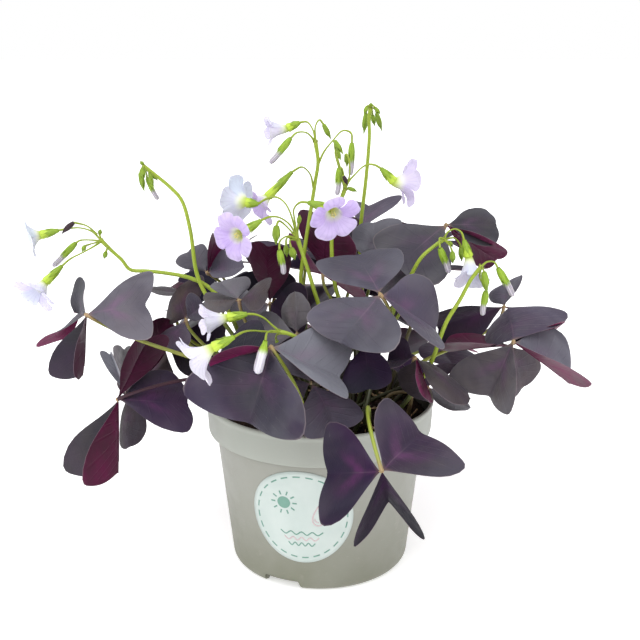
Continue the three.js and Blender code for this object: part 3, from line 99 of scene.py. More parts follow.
     [[[-44.1, 114.0, 147.9], [-59.7, 129.0, 145.9], [-39.2, 94.3, 155.9]], [[-84.4, 107.9, 119.4], [-91.4, 86.3, 123.6], [-80.1, 127.4, 130.8]], [[-60.4, 72.4, 132.5], [-48.7, 74.8, 151.2], [-82.5, 73.4, 133.1]]]),
    ('leaf_29', [[14.9, -40.6, 80.8], [29.8, -46.8, 112.0], [22.2, -44.7, 128.4], [21.7, -49.0, 134.6]],
     [[[22.3, -63.0, 115.2], [34.0, -55.0, 118.2], [10.7, -61.0, 115.9]], [[31.3, -42.6, 140.2], [27.5, -34.2, 143.8], [35.8, -46.9, 135.2]], [[15.2, -43.1, 143.6], [11.3, -48.4, 137.9], [20.3, -36.4, 148.1]]]),
    ('leaf_30', [[-30.0, 16.5, 80.8], [-32.1, 0.8, 117.2], [-63.2, 68.2, 79.8], [-58.6, 99.4, 113.4]],
     [[[-70.4, 129.6, 112.8], [-92.4, 115.7, 113.1], [-47.0, 133.7, 123.6]], [[-73.0, 70.5, 117.4], [-48.3, 64.7, 124.1], [-93.6, 85.4, 111.2]], [[-29.5, 101.2, 118.6], [-35.4, 124.3, 118.4], [-33.2, 77.9, 121.9]]]),
    ('leaf_31', [[6.3, 36.1, 80.8], [16.7, 45.7, 110.6], [65.3, 78.0, 128.3], [55.8, 93.1, 137.7]],
     [[[29.1, 77.7, 130.9], [44.5, 58.3, 136.7], [20.6, 101.6, 132.2]], [[83.9, 83.8, 136.6], [86.9, 107.3, 133.6], [72.7, 63.5, 142.2]], [[50.1, 123.2, 133.1], [27.2, 114.9, 138.3], [75.0, 122.9, 132.0]]]),
    ('leaf_32', [[18.0, 18.2, 80.9], [20.6, 31.6, 100.8], [28.4, 97.8, 155.0], [27.4, 99.7, 161.2]],
     [[[20.6, 73.8, 165.2], [42.3, 72.5, 165.7], [0.9, 83.0, 163.4]], [[50.2, 99.6, 147.0], [40.5, 117.3, 139.1], [55.1, 85.5, 162.7]], [[7.0, 112.4, 145.6], [-5.8, 100.8, 160.9], [25.8, 123.3, 137.9]]]),
    ('leaf_33', [[-18.0, 37.1, 81.0], [1.9, 49.3, 115.1], [-16.8, 109.3, 87.3], [-17.0, 114.9, 87.6]],
     [[[-47.9, 108.9, 90.6], [-37.9, 88.3, 101.9], [-48.3, 134.0, 86.5]], [[2.7, 87.7, 93.2], [21.4, 107.8, 93.6], [-17.7, 83.0, 110.9]], [[-6.2, 140.7, 77.2], [-27.1, 148.1, 86.6], [14.0, 130.3, 85.3]]]),
    ('leaf_34', [[21.0, 27.6, 80.7], [26.5, 33.2, 105.5], [71.5, 79.2, 143.1], [72.8, 79.0, 156.6]],
     [[[49.2, 65.2, 152.9], [61.9, 49.4, 162.1], [41.5, 84.9, 159.9]], [[94.1, 70.0, 143.6], [101.2, 89.0, 150.3], [87.1, 52.0, 152.7]], [[68.1, 104.8, 151.2], [48.8, 98.6, 158.7], [88.5, 105.8, 158.1]]]),
    ('leaf_35', [[-3.2, 27.3, 81.1], [4.4, 37.7, 94.6], [34.1, 92.9, 96.6], [32.2, 92.3, 111.7]],
     [[[58.1, 75.5, 103.5], [67.9, 99.3, 104.4], [43.8, 57.2, 114.6]], [[32.8, 120.7, 102.1], [10.6, 119.5, 111.6], [56.4, 115.8, 103.5]], [[2.2, 80.7, 111.2], [15.6, 59.2, 116.6], [-2.4, 106.1, 113.7]]]),
    ('leaf_36', [[-15.0, 26.7, 80.6], [-14.1, 31.9, 100.1], [-8.4, 65.2, 135.3], [-7.8, 66.0, 152.3]],
     [[[10.8, 92.2, 143.9], [-11.8, 104.3, 151.7], [29.7, 74.7, 151.0]], [[-40.2, 60.4, 146.1], [-33.7, 38.0, 159.6], [-40.9, 86.2, 154.0]], [[12.1, 43.9, 147.6], [27.0, 62.9, 150.4], [-5.9, 31.7, 158.2]]]),
]
STALKS = [
    ('flower_stalk_1',
     [[-18.8, 2.1, 81.0], [-23.9, -3.1, 92.2], [-31.2, -4.6, 103.9], [-39.6, -3.4, 115.6], [-48.2, -0.7, 127.1], [-55.8, 2.5, 137.8], [-61.5, 5.2, 147.5], [-64.2, 6.3, 155.8], [-66.5, 6.3, 177.3], [-70.3, 6.3, 192.3], [-75.4, 6.3, 198.4], [-80.8, 6.3, 203.2], [-85.6, 6.3, 207.0], [-88.6, 6.3, 209.3]],
     [[[-88.6, 6.3, 209.3], [-90.1, 6.3, 208.0], [-90.7, 6.3, 206.0]], [[-88.4, 6.3, 209.2], [-87.7, 7.8, 205.3], [-87.8, 9.2, 203.1]], [[-88.3, 6.3, 209.0], [-85.3, 2.5, 206.6]], [[-85.6, 6.3, 207.0], [-86.0, 13.2, 204.8]], [[-88.6, 6.3, 209.3], [-88.5, 1.4, 209.2]], [[-88.6, 6.3, 209.3], [-88.9, 6.3, 210.3]]],
     [[[-90.7, 6.3, 206.0], [-88.9, 6.3, 196.4], 1.25, 0, 0], [[-87.8, 9.2, 203.1], [-82.7, 9.2, 192.0], 1.4, 1, 0], [[-85.3, 2.5, 206.6], [-83.7, 2.5, 199.0], 1.0, 0, 0], [[-86.0, 13.2, 204.8], [-82.9, 13.2, 200.9], 0.8, 0, 0], [[-88.5, 1.4, 209.2], [-88.3, 1.4, 202.7], 1.0, 0, 0], [[-88.9, 6.3, 210.3], [-90.5, 6.3, 212.1], 0.8, 0, 0]],
     []),
    ('flower_stalk_2',
     [[-36.3, -3.7, 80.5], [-36.3, -1.9, 93.7], [-38.5, 0.7, 108.3], [-42.8, 3.5, 122.9], [-49.2, 6.1, 135.9], [-57.5, 8.1, 145.7], [-67.7, 8.8, 150.9], [-80.7, 8.8, 153.6], [-90.0, 8.8, 154.6], [-98.8, 8.8, 155.4], [-102.7, 8.8, 160.5], [-107.6, 8.8, 165.3], [-112.5, 8.8, 170.5]],
     [[[-112.5, 8.8, 170.5], [-117.4, 9.3, 175.4], [-123.6, 9.8, 177.2], [-129.4, 10.3, 176.8], [-135.0, 10.8, 175.7]], [[-112.5, 8.8, 170.5], [-116.8, 6.6, 167.9], [-122.2, 4.5, 165.2], [-128.0, 2.3, 162.5], [-131.8, 0.1, 159.4]], [[-112.5, 8.8, 170.5], [-119.2, 11.5, 170.5], [-125.0, 14.2, 169.7], [-127.8, 16.8, 167.8]], [[-112.4, 8.8, 170.4], [-116.1, 1.8, 170.7], [-118.2, -5.2, 171.0]], [[-112.4, 8.8, 170.5], [-109.6, 6.8, 167.8], [-109.9, 4.8, 165.6]], [[-112.5, 8.8, 170.6], [-114.2, 11.8, 173.6]], [[-114.8, 8.8, 174.0], [-119.1, 6.3, 178.9], [-125.1, 3.8, 181.2]]],
     [[[-127.8, 16.8, 167.8], [-140.7, 16.8, 155.4], 1.7, 1, 0], [[-118.2, -5.2, 171.0], [-119.9, -5.2, 167.9], 1.0, 0, 0], [[-109.9, 4.8, 165.6], [-111.1, 4.8, 161.9], 1.1, 0, 0], [[-114.2, 11.8, 173.6], [-113.2, 11.8, 176.2], 1.0, 0, 0], [[-125.1, 3.8, 181.2], [-131.8, 3.8, 175.2], 1.5, 0, 1]],
     [[[-135.0, 10.8, 175.7], [-143.9, 10.1, 173.5]], [[-131.8, 0.1, 159.4], [-140.3, -1.1, 151.5]]]),
    ('flower_stalk_3',
     [[-9.4, 8.1, 80.5], [-7.9, 11.6, 114.7], [-8.1, 14.3, 133.6], [-9.1, 16.1, 142.3], [-10.0, 17.2, 146.0], [-10.1, 17.5, 149.8], [-7.3, 17.5, 169.2], [-4.1, 17.5, 189.3], [-2.3, 17.5, 200.8], [-1.0, 17.5, 210.0], [-2.3, 17.5, 220.2]],
     [[[-2.3, 17.5, 220.2], [-3.6, 17.5, 226.3], [-6.6, 17.5, 230.3], [-10.2, 17.5, 230.1]], [[-2.3, 17.5, 220.2], [-6.6, 14.6, 225.1], [-11.6, 11.8, 225.6], [-14.6, 8.9, 223.2]], [[-2.3, 17.5, 220.2], [-2.3, 19.1, 228.1], [-0.3, 20.6, 231.1], [1.8, 22.2, 228.6]], [[-3.4, 17.5, 196.6], [-5.1, 15.6, 204.1], [-9.2, 13.8, 208.0], [-14.3, 11.9, 205.7]], [[-1.0, 17.5, 208.5], [2.0, 18.1, 215.1], [6.4, 18.7, 220.6], [11.7, 19.3, 225.8], [15.9, 19.8, 224.5], [16.4, 20.4, 219.4]]],
     [[[-14.6, 8.9, 223.2], [-25.3, 8.9, 210.7], 1.7, 1, 0], [[1.8, 22.2, 228.6], [5.7, 22.2, 220.9], 1.25, 0, 0], [[16.4, 20.4, 219.4], [15.7, 20.4, 202.9], 1.7, 1, 0]],
     [[[-10.2, 17.5, 230.1], [-16.5, 16.8, 227.3]], [[-14.3, 11.9, 205.7], [-26.7, 11.0, 193.4]]]),
    ('flower_stalk_4',
     [[6.4, -13.3, 80.7], [8.6, -18.1, 98.5], [9.3, -21.8, 110.2], [8.4, -24.4, 118.5], [6.1, -26.1, 126.6], [2.3, -27.1, 137.4], [-2.9, -27.4, 153.9], [-5.8, -27.4, 163.9], [-8.7, -27.4, 172.8], [-10.6, -27.4, 178.7]],
     [[[-10.6, -27.4, 178.7], [-14.3, -30.4, 186.7], [-19.3, -33.5, 190.9], [-23.9, -36.6, 191.7], [-27.5, -39.6, 190.6]], [[-10.6, -27.4, 178.7], [-14.4, -26.0, 192.1], [-17.2, -24.7, 196.7], [-21.1, -23.4, 198.9], [-25.9, -22.1, 197.7], [-29.9, -20.8, 195.0]], [[-10.6, -27.4, 178.7], [-11.9, -30.2, 188.1], [-12.3, -33.0, 194.8], [-9.4, -35.8, 198.4], [-5.6, -38.6, 198.9]], [[-10.6, -27.4, 178.7], [-14.8, -30.1, 184.7], [-19.4, -32.9, 189.1], [-20.5, -35.6, 187.2]], [[-10.6, -27.4, 178.7], [-15.2, -31.3, 181.5], [-18.9, -35.3, 179.9], [-19.1, -39.2, 176.4]], [[-10.6, -27.4, 178.6], [-15.8, -29.0, 180.1], [-16.3, -30.7, 176.5]], [[-10.6, -27.4, 178.7], [-14.3, -30.2, 179.3], [-13.8, -33.0, 176.0]], [[-10.6, -27.4, 179.0], [-10.6, -26.8, 184.5], [-10.3, -26.2, 186.8]]],
     [[[-20.5, -35.6, 187.2], [-20.8, -35.6, 178.1], 1.8, 0, 0], [[-19.1, -39.2, 176.4], [-17.1, -39.2, 164.8], 1.6, 1, 0], [[-16.3, -30.7, 176.5], [-15.8, -30.7, 171.1], 1.2, 0, 0], [[-13.8, -33.0, 176.0], [-11.9, -33.0, 170.2], 1.6, 0, 0], [[-10.3, -26.2, 186.8], [-9.6, -26.2, 190.9], 1.0, 0, 0]],
     [[[-27.5, -39.6, 190.6], [-36.3, -41.2, 185.1]], [[-29.9, -20.8, 195.0], [-35.4, -19.5, 195.5]], [[-5.6, -38.6, 198.9], [4.7, -40.3, 196.3]]]),
    ('flower_stalk_5',
     [[19.3, 1.3, 80.8], [22.7, 2.6, 95.1], [22.3, 3.0, 107.2], [19.4, 2.7, 118.0], [15.2, 1.9, 128.3], [10.8, 1.1, 139.0], [7.4, 0.3, 150.8], [6.1, 0.0, 164.6], [6.3, 0.0, 178.1], [9.1, 0.0, 189.3], [12.5, 0.0, 198.9]],
     [[[12.5, 0.0, 198.9], [14.5, 0.1, 202.9], [17.4, 0.1, 206.2], [20.9, 0.1, 209.7], [23.9, 0.1, 211.2], [27.3, 0.1, 210.9], [30.4, 0.1, 209.2]], [[12.5, 0.0, 198.9], [10.4, -2.0, 208.7], [7.6, -4.0, 218.8], [7.1, -6.0, 223.7]], [[12.5, 0.0, 198.9], [9.7, 1.4, 208.2], [7.7, 2.7, 216.5], [8.0, 4.0, 218.1]], [[12.5, 0.0, 198.9], [14.8, 2.7, 205.5], [14.3, 5.4, 213.7], [13.1, 8.0, 215.3]], [[12.5, 0.0, 198.9], [11.9, -1.3, 205.6], [10.6, -2.6, 209.8], [9.4, -4.0, 210.0]], [[12.5, 0.0, 198.9], [11.1, -4.5, 203.6], [11.5, -9.0, 206.8]], [[12.5, 0.0, 198.9], [13.8, 0.0, 199.5]]],
     [[[7.1, -6.0, 223.7], [11.5, -6.0, 216.7], 1.2, 0, 0], [[8.0, 4.0, 218.1], [10.5, 4.0, 212.6], 1.1, 0, 0], [[13.1, 8.0, 215.3], [13.6, 8.0, 208.3], 1.0, 0, 0], [[9.4, -4.0, 210.0], [8.5, -4.0, 196.6], 1.5, 1, 0], [[11.5, -9.0, 206.8], [13.5, -9.0, 202.1], 1.1, 0, 1], [[13.8, 0.0, 199.5], [19.0, 0.0, 197.7], 0.85, 0, 0]],
     [[[30.4, 0.1, 209.2], [36.7, 0.7, 202.7]]]),
    ('flower_stalk_6',
     [[25.9, 19.4, 80.7], [25.5, 22.6, 90.7], [24.7, 26.5, 103.9], [23.8, 30.7, 119.0], [23.0, 34.8, 134.8], [22.3, 38.2, 149.9], [22.0, 40.6, 163.1], [22.3, 41.5, 173.0], [23.1, 41.5, 181.8], [24.8, 41.5, 198.2], [26.3, 41.5, 221.1], [26.0, 41.5, 230.0], [26.7, 41.5, 235.2]],
     [[[26.7, 41.5, 235.2], [26.8, 41.9, 236.0]], [[26.7, 41.5, 235.2], [24.9, 43.4, 234.8], [24.5, 45.4, 232.0]], [[26.7, 41.5, 235.2], [25.5, 38.5, 236.8], [24.6, 35.6, 236.5]], [[26.7, 41.5, 235.2], [28.8, 42.1, 234.7], [30.0, 42.7, 232.5]], [[26.7, 41.5, 235.2], [28.0, 45.7, 233.3], [28.2, 50.0, 230.8]], [[26.7, 41.5, 235.2], [27.9, 40.0, 236.6], [28.9, 38.5, 235.7]]],
     [[[26.8, 41.9, 236.0], [26.9, 41.9, 238.1], 0.95, 0, 0], [[24.5, 45.4, 232.0], [23.3, 45.4, 220.9], 1.4, 0, 0], [[24.6, 35.6, 236.5], [23.0, 35.6, 232.4], 0.95, 0, 0], [[30.0, 42.7, 232.5], [33.0, 42.7, 222.8], 1.3, 0, 0], [[28.2, 50.0, 230.8], [29.6, 50.0, 224.7], 1.1, 0, 0], [[28.9, 38.5, 235.7], [31.9, 38.5, 232.1], 0.9, 0, 0]],
     []),
    ('flower_stalk_7',
     [[23.1, -21.2, 80.4], [24.5, -20.4, 94.7], [27.2, -17.9, 108.4], [30.9, -14.7, 121.4], [35.2, -11.4, 133.4], [39.9, -8.9, 144.2], [44.5, -7.9, 153.5], [50.7, -7.9, 165.4], [56.6, -7.9, 171.0], [61.9, -7.9, 174.9]],
     [[[61.9, -7.9, 174.9], [63.7, -8.4, 178.8], [67.1, -8.9, 180.4], [70.1, -9.4, 179.0], [71.7, -9.9, 175.0]], [[61.9, -7.9, 174.9], [59.4, -10.4, 176.1], [59.5, -12.9, 171.6]], [[62.0, -7.9, 174.8], [64.5, -12.1, 172.5], [65.3, -16.4, 170.4]], [[62.1, -7.9, 174.9], [67.2, -5.8, 175.2], [70.1, -3.7, 172.2], [71.4, -1.6, 169.7]], [[62.0, -7.9, 174.8], [64.3, -9.4, 173.9]]],
     [[[59.5, -12.9, 171.6], [64.4, -12.9, 158.9], 1.8, 1, 0], [[65.3, -16.4, 170.4], [65.8, -16.4, 164.3], 1.3, 0, 0], [[71.4, -1.6, 169.7], [72.0, -1.6, 161.9], 1.3, 0, 0], [[64.3, -9.4, 173.9], [66.4, -9.4, 171.4], 0.9, 0, 0]],
     [[[71.7, -9.9, 175.0], [74.0, -11.0, 166.9]]]),
    ('flower_stalk_8',
     [[33.3, -23.0, 81.1], [40.0, -25.3, 90.6], [46.7, -27.7, 101.4], [52.3, -29.6, 111.7], [55.8, -30.4, 120.0], [58.9, -30.4, 130.3], [62.0, -30.4, 139.0], [68.2, -30.4, 150.2], [72.9, -30.4, 159.9], [77.5, -30.4, 166.1]],
     [[[77.5, -30.4, 166.1], [80.4, -29.5, 168.4], [83.9, -28.7, 168.2], [86.1, -27.9, 165.0]], [[77.5, -30.4, 166.1], [78.4, -32.6, 165.2], [78.3, -34.8, 164.7]], [[77.5, -30.4, 166.1], [77.4, -29.2, 160.4], [80.7, -28.0, 155.1], [81.0, -26.9, 153.3]]],
     [[[86.1, -27.9, 165.0], [94.1, -27.9, 151.0], 1.8, 1, 0], [[78.3, -34.8, 164.7], [80.5, -34.8, 153.9], 1.7, 0, 0], [[81.0, -26.9, 153.3], [79.8, -26.9, 141.1], 1.7, 1, 0]],
     []),
    ('flower_stalk_9',
     [[12.1, -21.4, 80.7], [12.3, -25.2, 89.5], [10.3, -31.8, 100.9], [6.4, -39.6, 113.2], [1.0, -47.1, 124.9], [-5.6, -52.7, 134.2], [-13.1, -54.9, 139.4], [-15.8, -54.9, 140.4], [-18.6, -54.9, 140.9]],
     [[[-18.6, -54.9, 140.9], [-22.3, -55.9, 144.6], [-25.9, -57.0, 148.3], [-29.9, -58.0, 150.3], [-33.5, -59.1, 150.8]], [[-18.6, -54.9, 140.9], [-24.8, -62.2, 143.3], [-30.7, -69.5, 146.0], [-34.2, -76.7, 147.5], [-37.6, -84.0, 147.5]], [[-18.8, -54.9, 140.9], [-22.8, -60.6, 143.1], [-24.3, -66.3, 143.4], [-24.5, -72.0, 141.9]], [[-18.7, -54.9, 140.8], [-20.6, -52.9, 138.3], [-20.5, -50.9, 135.2]]],
     [[[-24.5, -72.0, 141.9], [-28.4, -72.0, 126.7], 2.1, 2, 0], [[-20.5, -50.9, 135.2], [-20.0, -50.9, 134.3], 0.8, 0, 0]],
     [[[-33.5, -59.1, 150.8], [-42.3, -59.8, 149.2]], [[-37.6, -84.0, 147.5], [-46.7, -84.2, 142.9]]]),
]
FLOWERS = [
    ('flower_01', [-143.9, 10.1, 173.5], [-0.92, -0.35, -0.15], 12, 3, 72, 1, 5),
    ('flower_02', [-140.3, -1.1, 151.5], [-0.46, -0.64, -0.61], 12, 4, 58, 0, 40),
    ('flower_03', [-16.5, 16.8, 227.3], [-0.94, -0.34, -0.08], 7.5, 5, 42, 0, 18),
    ('flower_04', [-26.7, 11.0, 193.4], [-0.67, -0.47, -0.57], 12, 3, 60, 0, 50),
    ('flower_05', [-36.3, -41.2, 185.1], [-0.59, -0.79, -0.15], 12, 3.5, 70, 0, 18),
    ('flower_06', [-35.4, -19.5, 195.5], [-0.77, 0.64, 0.07], 12.5, 2.5, 66, 1, 30),
    ('flower_07', [4.7, -40.3, 196.3], [0.31, -0.85, -0.43], 12.5, 4.5, 70, 0, 18),
    ('flower_08', [36.7, 0.7, 202.7], [0.95, 0.27, -0.15], 12.5, 3, 62, 0, 62),
    ('flower_09', [74.0, -11.0, 166.9], [0.07, -0.54, -0.84], 9.5, 5, 42, 1, 18),
    ('flower_10', [-42.3, -59.8, 149.2], [-0.94, -0.34, -0.08], 9, 5, 45, 1, 33),
    ('flower_11', [-46.7, -84.2, 142.9], [-0.81, -0.1, -0.58], 13, 5, 62, 1, 10),
]


# half a leaflet's outline, as fractions of the midrib (s) and of the lobe line (t)
OUTLINE = [(0.0, 0.0), (-0.025, 0.10), (-0.095, 0.32), (-0.165, 0.50), (-0.225, 0.67), (-0.255, 0.82),
           (-0.240, 0.93), (-0.180, 1.00), (-0.09, 1.03), (0.02, 1.01), (0.14, 0.935), (0.27, 0.825), (0.42, 0.685),
           (0.58, 0.52), (0.73, 0.345), (0.86, 0.175), (0.935, 0.065), (0.985, 0.006)]


def unit(v):
    v = np.asarray(v, float)
    return v / max(np.linalg.norm(v), 1e-9)


def catmull(points, n):
    """n + 1 points along a centripetal curve through the given points, evenly spaced."""
    P = np.asarray(points, float)
    if len(P) == 2:
        return P[0] + (P[1] - P[0]) * np.linspace(0, 1, n + 1)[:, None]
    Q = np.vstack([2 * P[0] - P[1], P, 2 * P[-1] - P[-2]])
    out = []
    for i in range(1, len(Q) - 2):
        p0, p1, p2, p3 = Q[i - 1:i + 3]
        t0 = 0.0
        t1 = t0 + max(np.linalg.norm(p1 - p0), 1e-6) ** 0.5
        t2 = t1 + max(np.linalg.norm(p2 - p1), 1e-6) ** 0.5
        t3 = t2 + max(np.linalg.norm(p3 - p2), 1e-6) ** 0.5
        for t in np.linspace(t1, t2, 13)[:-1]:
            a1 = (t1 - t) / (t1 - t0) * p0 + (t - t0) / (t1 - t0) * p1
            a2 = (t2 - t) / (t2 - t1) * p1 + (t - t1) / (t2 - t1) * p2
            a3 = (t3 - t) / (t3 - t2) * p2 + (t - t2) / (t3 - t2) * p3
            b1 = (t2 - t) / (t2 - t0) * a1 + (t - t0) / (t2 - t0) * a2
            b2 = (t3 - t) / (t3 - t1) * a2 + (t - t1) / (t3 - t1) * a3
            out.append((t2 - t) / (t2 - t1) * b1 + (t - t1) / (t2 - t1) * b2)
    out.append(P[-1])
    return resample(np.array(out), n)


def resample(P, n):
    d = np.r_[0, np.cumsum(np.linalg.norm(np.diff(P, axis=0), axis=1))]
    return np.stack([np.interp(np.linspace(0, d[-1], n + 1), d, P[:, k]) for k in range(P.shape[1])], 1)


def bezier(P, n):
    P = np.asarray(P, float)
    t = np.linspace(0, 1, n + 1)[:, None]
    return (1 - t) ** 3 * P[0] + 3 * t * (1 - t) ** 2 * P[1] + 3 * t * t * (1 - t) * P[2] + t ** 3 * P[3]


EDGE = resample(np.array([p for p in catmull([(s, t, 0) for s, t in OUTLINE], 160)])[:, :2], 200)


def smooth(x, a, b):
    x = np.clip((np.asarray(x, float) - a) / (b - a), 0, 1)
    return x * x * (3 - 2 * x)


# ------------------------------------------------------------------ mesh gathering
class Piece:
    """Collects grids and tubes into one mesh with material slots, UVs and a tint colour."""

    def __init__(self, name):
        self.name, self.n = name, 0
        self.V, self.UV, self.T, self.F, self.M = [], [], [], [], []

    def add(self, V, F, mat, uv=None, tint=(0, 0, 0, 1)):
        V = np.asarray(V, float).reshape(-1, 3)
        k = len(V)
        self.V.append(V)
        self.UV.append(np.zeros((k, 2)) if uv is None else np.asarray(uv, float).reshape(-1, 2))
        t = np.asarray(tint, float)
        self.T.append(np.tile(t, (k, 1)) if t.ndim == 1 else t.reshape(-1, 4))
        F = np.asarray(F, int)
        self.F.append(F + self.n)
        self.M.append(np.full(len(F), mat) if np.isscalar(mat) else np.asarray(mat))
        self.n += k

    def grid(self, G, mat, uv=None, tint=(0, 0, 0, 1), flip=False, wrap=False):
        r, c = G.shape[:2]
        i, j = np.meshgrid(np.arange(r - 1), np.arange(c if wrap else c - 1), indexing="ij")
        j2 = (j + 1) % c
        F = np.stack([i * c + j, i * c + j2, (i + 1) * c + j2, (i + 1) * c + j], -1).reshape(-1, 4)
        self.add(G, F[:, ::-1] if flip else F, mat, uv, tint)

    def tube(self, P, rad, sides, mat, tint=(0, 0, 0, 1), v0=0.0, v1=1.0, lobes=0.0, cap=True):
        P = np.asarray(P, float)
        n = len(P)
        rad = np.broadcast_to(np.asarray(rad, float), (n,))
        T = np.gradient(P, axis=0)
        T /= np.maximum(np.linalg.norm(T, axis=1), 1e-9)[:, None]
        ref = unit(np.cross(T[0], [0.31, 0.17, 0.93] if abs(T[0][2]) < 0.9 else [1, 0, 0]))
        rings = []
        for k in range(n):
            ref = unit(ref - T[k] * (ref @ T[k]))
            bi = np.cross(T[k], ref)
            a = np.arange(sides) * 2 * math.pi / sides
            r = rad[k] * (1 + lobes * np.cos(5 * a))
            rings.append(P[k] + (np.cos(a) * r)[:, None] * ref + (np.sin(a) * r)[:, None] * bi)
        G = np.array(rings)
        v = np.linspace(v0, v1, n)
        uv = np.stack([np.repeat(v, sides), np.tile(np.arange(sides) / sides, n)], 1)
        self.grid(G, mat, uv, tint, wrap=True)
        if cap:
            for k, f in ((0, True), (n - 1, False)):
                c = np.vstack([G[k], P[k]])
                idx = np.arange(sides)
                F = np.stack([idx, (idx + 1) % sides, np.full(sides, sides)], 1)
                self.add3(c, F[:, ::-1] if f else F, mat, np.tile([v[k], 0.5], (sides + 1, 1)), tint)

    def add3(self, V, F, mat, uv=None, tint=(0, 0, 0, 1)):
        F = np.asarray(F, int)
        self.add(V, np.hstack([F, F[:, -1:]]), mat, uv, tint)

    def shell(self, S, N, thick, mats, uv=None, tint=(0, 0, 0, 1), tint_low=None):
        """A thin two-sided skin from a grid of points and normals: mats = upper, lower, edge."""
        r, c = S.shape[:2]
        up, lo = S + N * (thick / 2)[..., None], S - N * (thick / 2)[..., None]
        self.grid(up, mats[0], uv, tint)
        self.grid(lo, mats[1], uv, tint if tint_low is None else tint_low, flip=True)
        ring = [(i, 0) for i in range(r)] + [(r - 1, j) for j in range(1, c)] \
            + [(i, c - 1) for i in range(r - 2, -1, -1)] + [(0, j) for j in range(c - 2, 0, -1)]
        a = np.array([up[q] for q in ring])
        b = np.array([lo[q] for q in ring])
        uvr = None
        if uv is not None:
            u = np.asarray(uv).reshape(r, c, 2)
            uvr = np.vstack([[u[q] for q in ring], [u[q] for q in ring]])
        tr = tint
        if np.asarray(tint).ndim > 1:
            t = np.asarray(tint).reshape(r, c, 4)
            tr = np.vstack([[t[q] for q in ring], [t[q] for q in ring]])
        k = len(ring)
        i = np.arange(k)
        F = np.stack([i, (i + 1) % k, (i + 1) % k + k, i + k], 1)
        self.add(np.vstack([a, b]), F, mats[2], uvr, tr)

    def make(self, mats, node=None):
        V = np.vstack(self.V) * MM
        F = np.vstack(self.F)
        M = np.concatenate(self.M)
        UV = np.vstack(self.UV)
        T = np.vstack(self.T)
        me = bpy.data.meshes.new(self.name)
        faces = [tuple(f) if f[2] != f[3] else tuple(f[:3]) for f in F.tolist()]
        me.from_pydata(V.tolist(), [], faces)
        me.polygons.foreach_set("material_index", M.astype(np.int32))
        me.polygons.foreach_set("use_smooth", np.ones(len(faces), bool))
        uvl = me.uv_layers.new(name="UVMap")
        vi = np.empty(len(me.loops), np.int32)
        me.loops.foreach_get("vertex_index", vi)
        uvl.data.foreach_set("uv", UV[vi].astype(np.float32).ravel())
        ca = me.color_attributes.new("tint", "FLOAT_COLOR", "POINT")
        ca.data.foreach_set("color", T.astype(np.float32).ravel())
        me.update()
        ob = bpy.data.objects.new(self.name, me)
        bpy.context.scene.collection.objects.link(ob)
        for m in mats:
            me.materials.append(m)
        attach(ob, "root")
        if node:
            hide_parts(node)
        return ob


# ------------------------------------------------------------------ materials
class Nodes:
    def __init__(self, name):
        self.m = bpy.data.materials.new(name)
        self.m.use_nodes = True
        self.t = self.m.node_tree
        self.bsdf = self.t.nodes["Principled BSDF"]
        self.x = -200

    def new(self, kind, **kw):
        n = self.t.nodes.new(kind)
        self.x -= 40
        n.location = (self.x, 0)
        for k, v in kw.items():
            setattr(n, k, v)
        return n

    def put(self, sock, v):
        if isinstance(v, bpy.types.NodeSocket):
            self.t.links.new(v, sock)
        elif isinstance(v, (tuple, list)):
            sock.default_value = (*v, 1.0) if len(v) == 3 and len(sock.default_value) == 4 else v
        else:
            sock.default_value = v

    def math(self, op, a, b=0.0, c=0.0, clamp=False):
        n = self.new("ShaderNodeMath", operation=op, use_clamp=clamp)
        self.put(n.inputs[0], a)
        self.put(n.inputs[1], b)
        if op in ("MULTIPLY_ADD", "SMOOTH_MIN", "COMPARE"):
            self.put(n.inputs[2], c)
        return n.outputs[0]

    def ramp(self, x, a, b, y0=0.0, y1=1.0):
        n = self.new("ShaderNodeMapRange", interpolation_type="SMOOTHSTEP")
        for k, v in zip((0, 1, 2, 3, 4), (x, a, b, y0, y1)):
            self.put(n.inputs[k], v)
        return n.outputs[0]

    def mix(self, f, a, b, mode="MIX"):
        n = self.new("ShaderNodeMix", data_type="RGBA", blend_type=mode)
        self.put(n.inputs[0], f)
        self.put(n.inputs[6], a)
        self.put(n.inputs[7], b)
        return n.outputs[2]

    def noise(self, scale, detail=3.0, rough=0.5, vec=None, distort=0.0):
        n = self.new("ShaderNodeTexNoise")
        n.inputs["Scale"].default_value = scale
        n.inputs["Detail"].default_value = detail
        n.inputs["Roughness"].default_value = rough
        n.inputs["Distortion"].default_value = distort
        self.put(n.inputs["Vector"], vec if vec is not None else self.obj())
        return n.outputs["Fac"]

    def obj(self):
        if not hasattr(self, "_o"):
            self._o = self.new("ShaderNodeTexCoord").outputs["Object"]
        return self._o

    def uv(self):
        if not hasattr(self, "_u"):
            n = self.new("ShaderNodeSeparateXYZ")
            self.put(n.inputs[0], self.new("ShaderNodeUVMap", uv_map="UVMap").outputs[0])
            self._u = (n.outputs[0], n.outputs[1])
        return self._u

    def tint(self):
        if not hasattr(self, "_t"):
            n = self.new("ShaderNodeSeparateColor")
            a = self.new("ShaderNodeAttribute", attribute_name="tint")
            self.put(n.inputs[0], a.outputs["Color"])
            self._t = (n.outputs[0], n.outputs[1], n.outputs[2], a.outputs["Alpha"])
        return self._t

    def bump(self, h, dist, strength=1.0):
        n = self.new("ShaderNodeBump")
        n.inputs["Strength"].default_value = strength
        n.inputs["Distance"].default_value = dist
        self.put(n.inputs["Height"], h)
        self.put(self.bsdf.inputs["Normal"], n.outputs[0])

    def done(self, color, rough, spec=0.5, **kw):
        self.put(self.bsdf.inputs["Base Color"], color)
        self.put(self.bsdf.inputs["Roughness"], rough)
        self.bsdf.inputs["Specular IOR Level"].default_value = spec
        for k, v in kw.items():
            self.put(self.bsdf.inputs[k.replace("_", " ")], v)
        return self.m


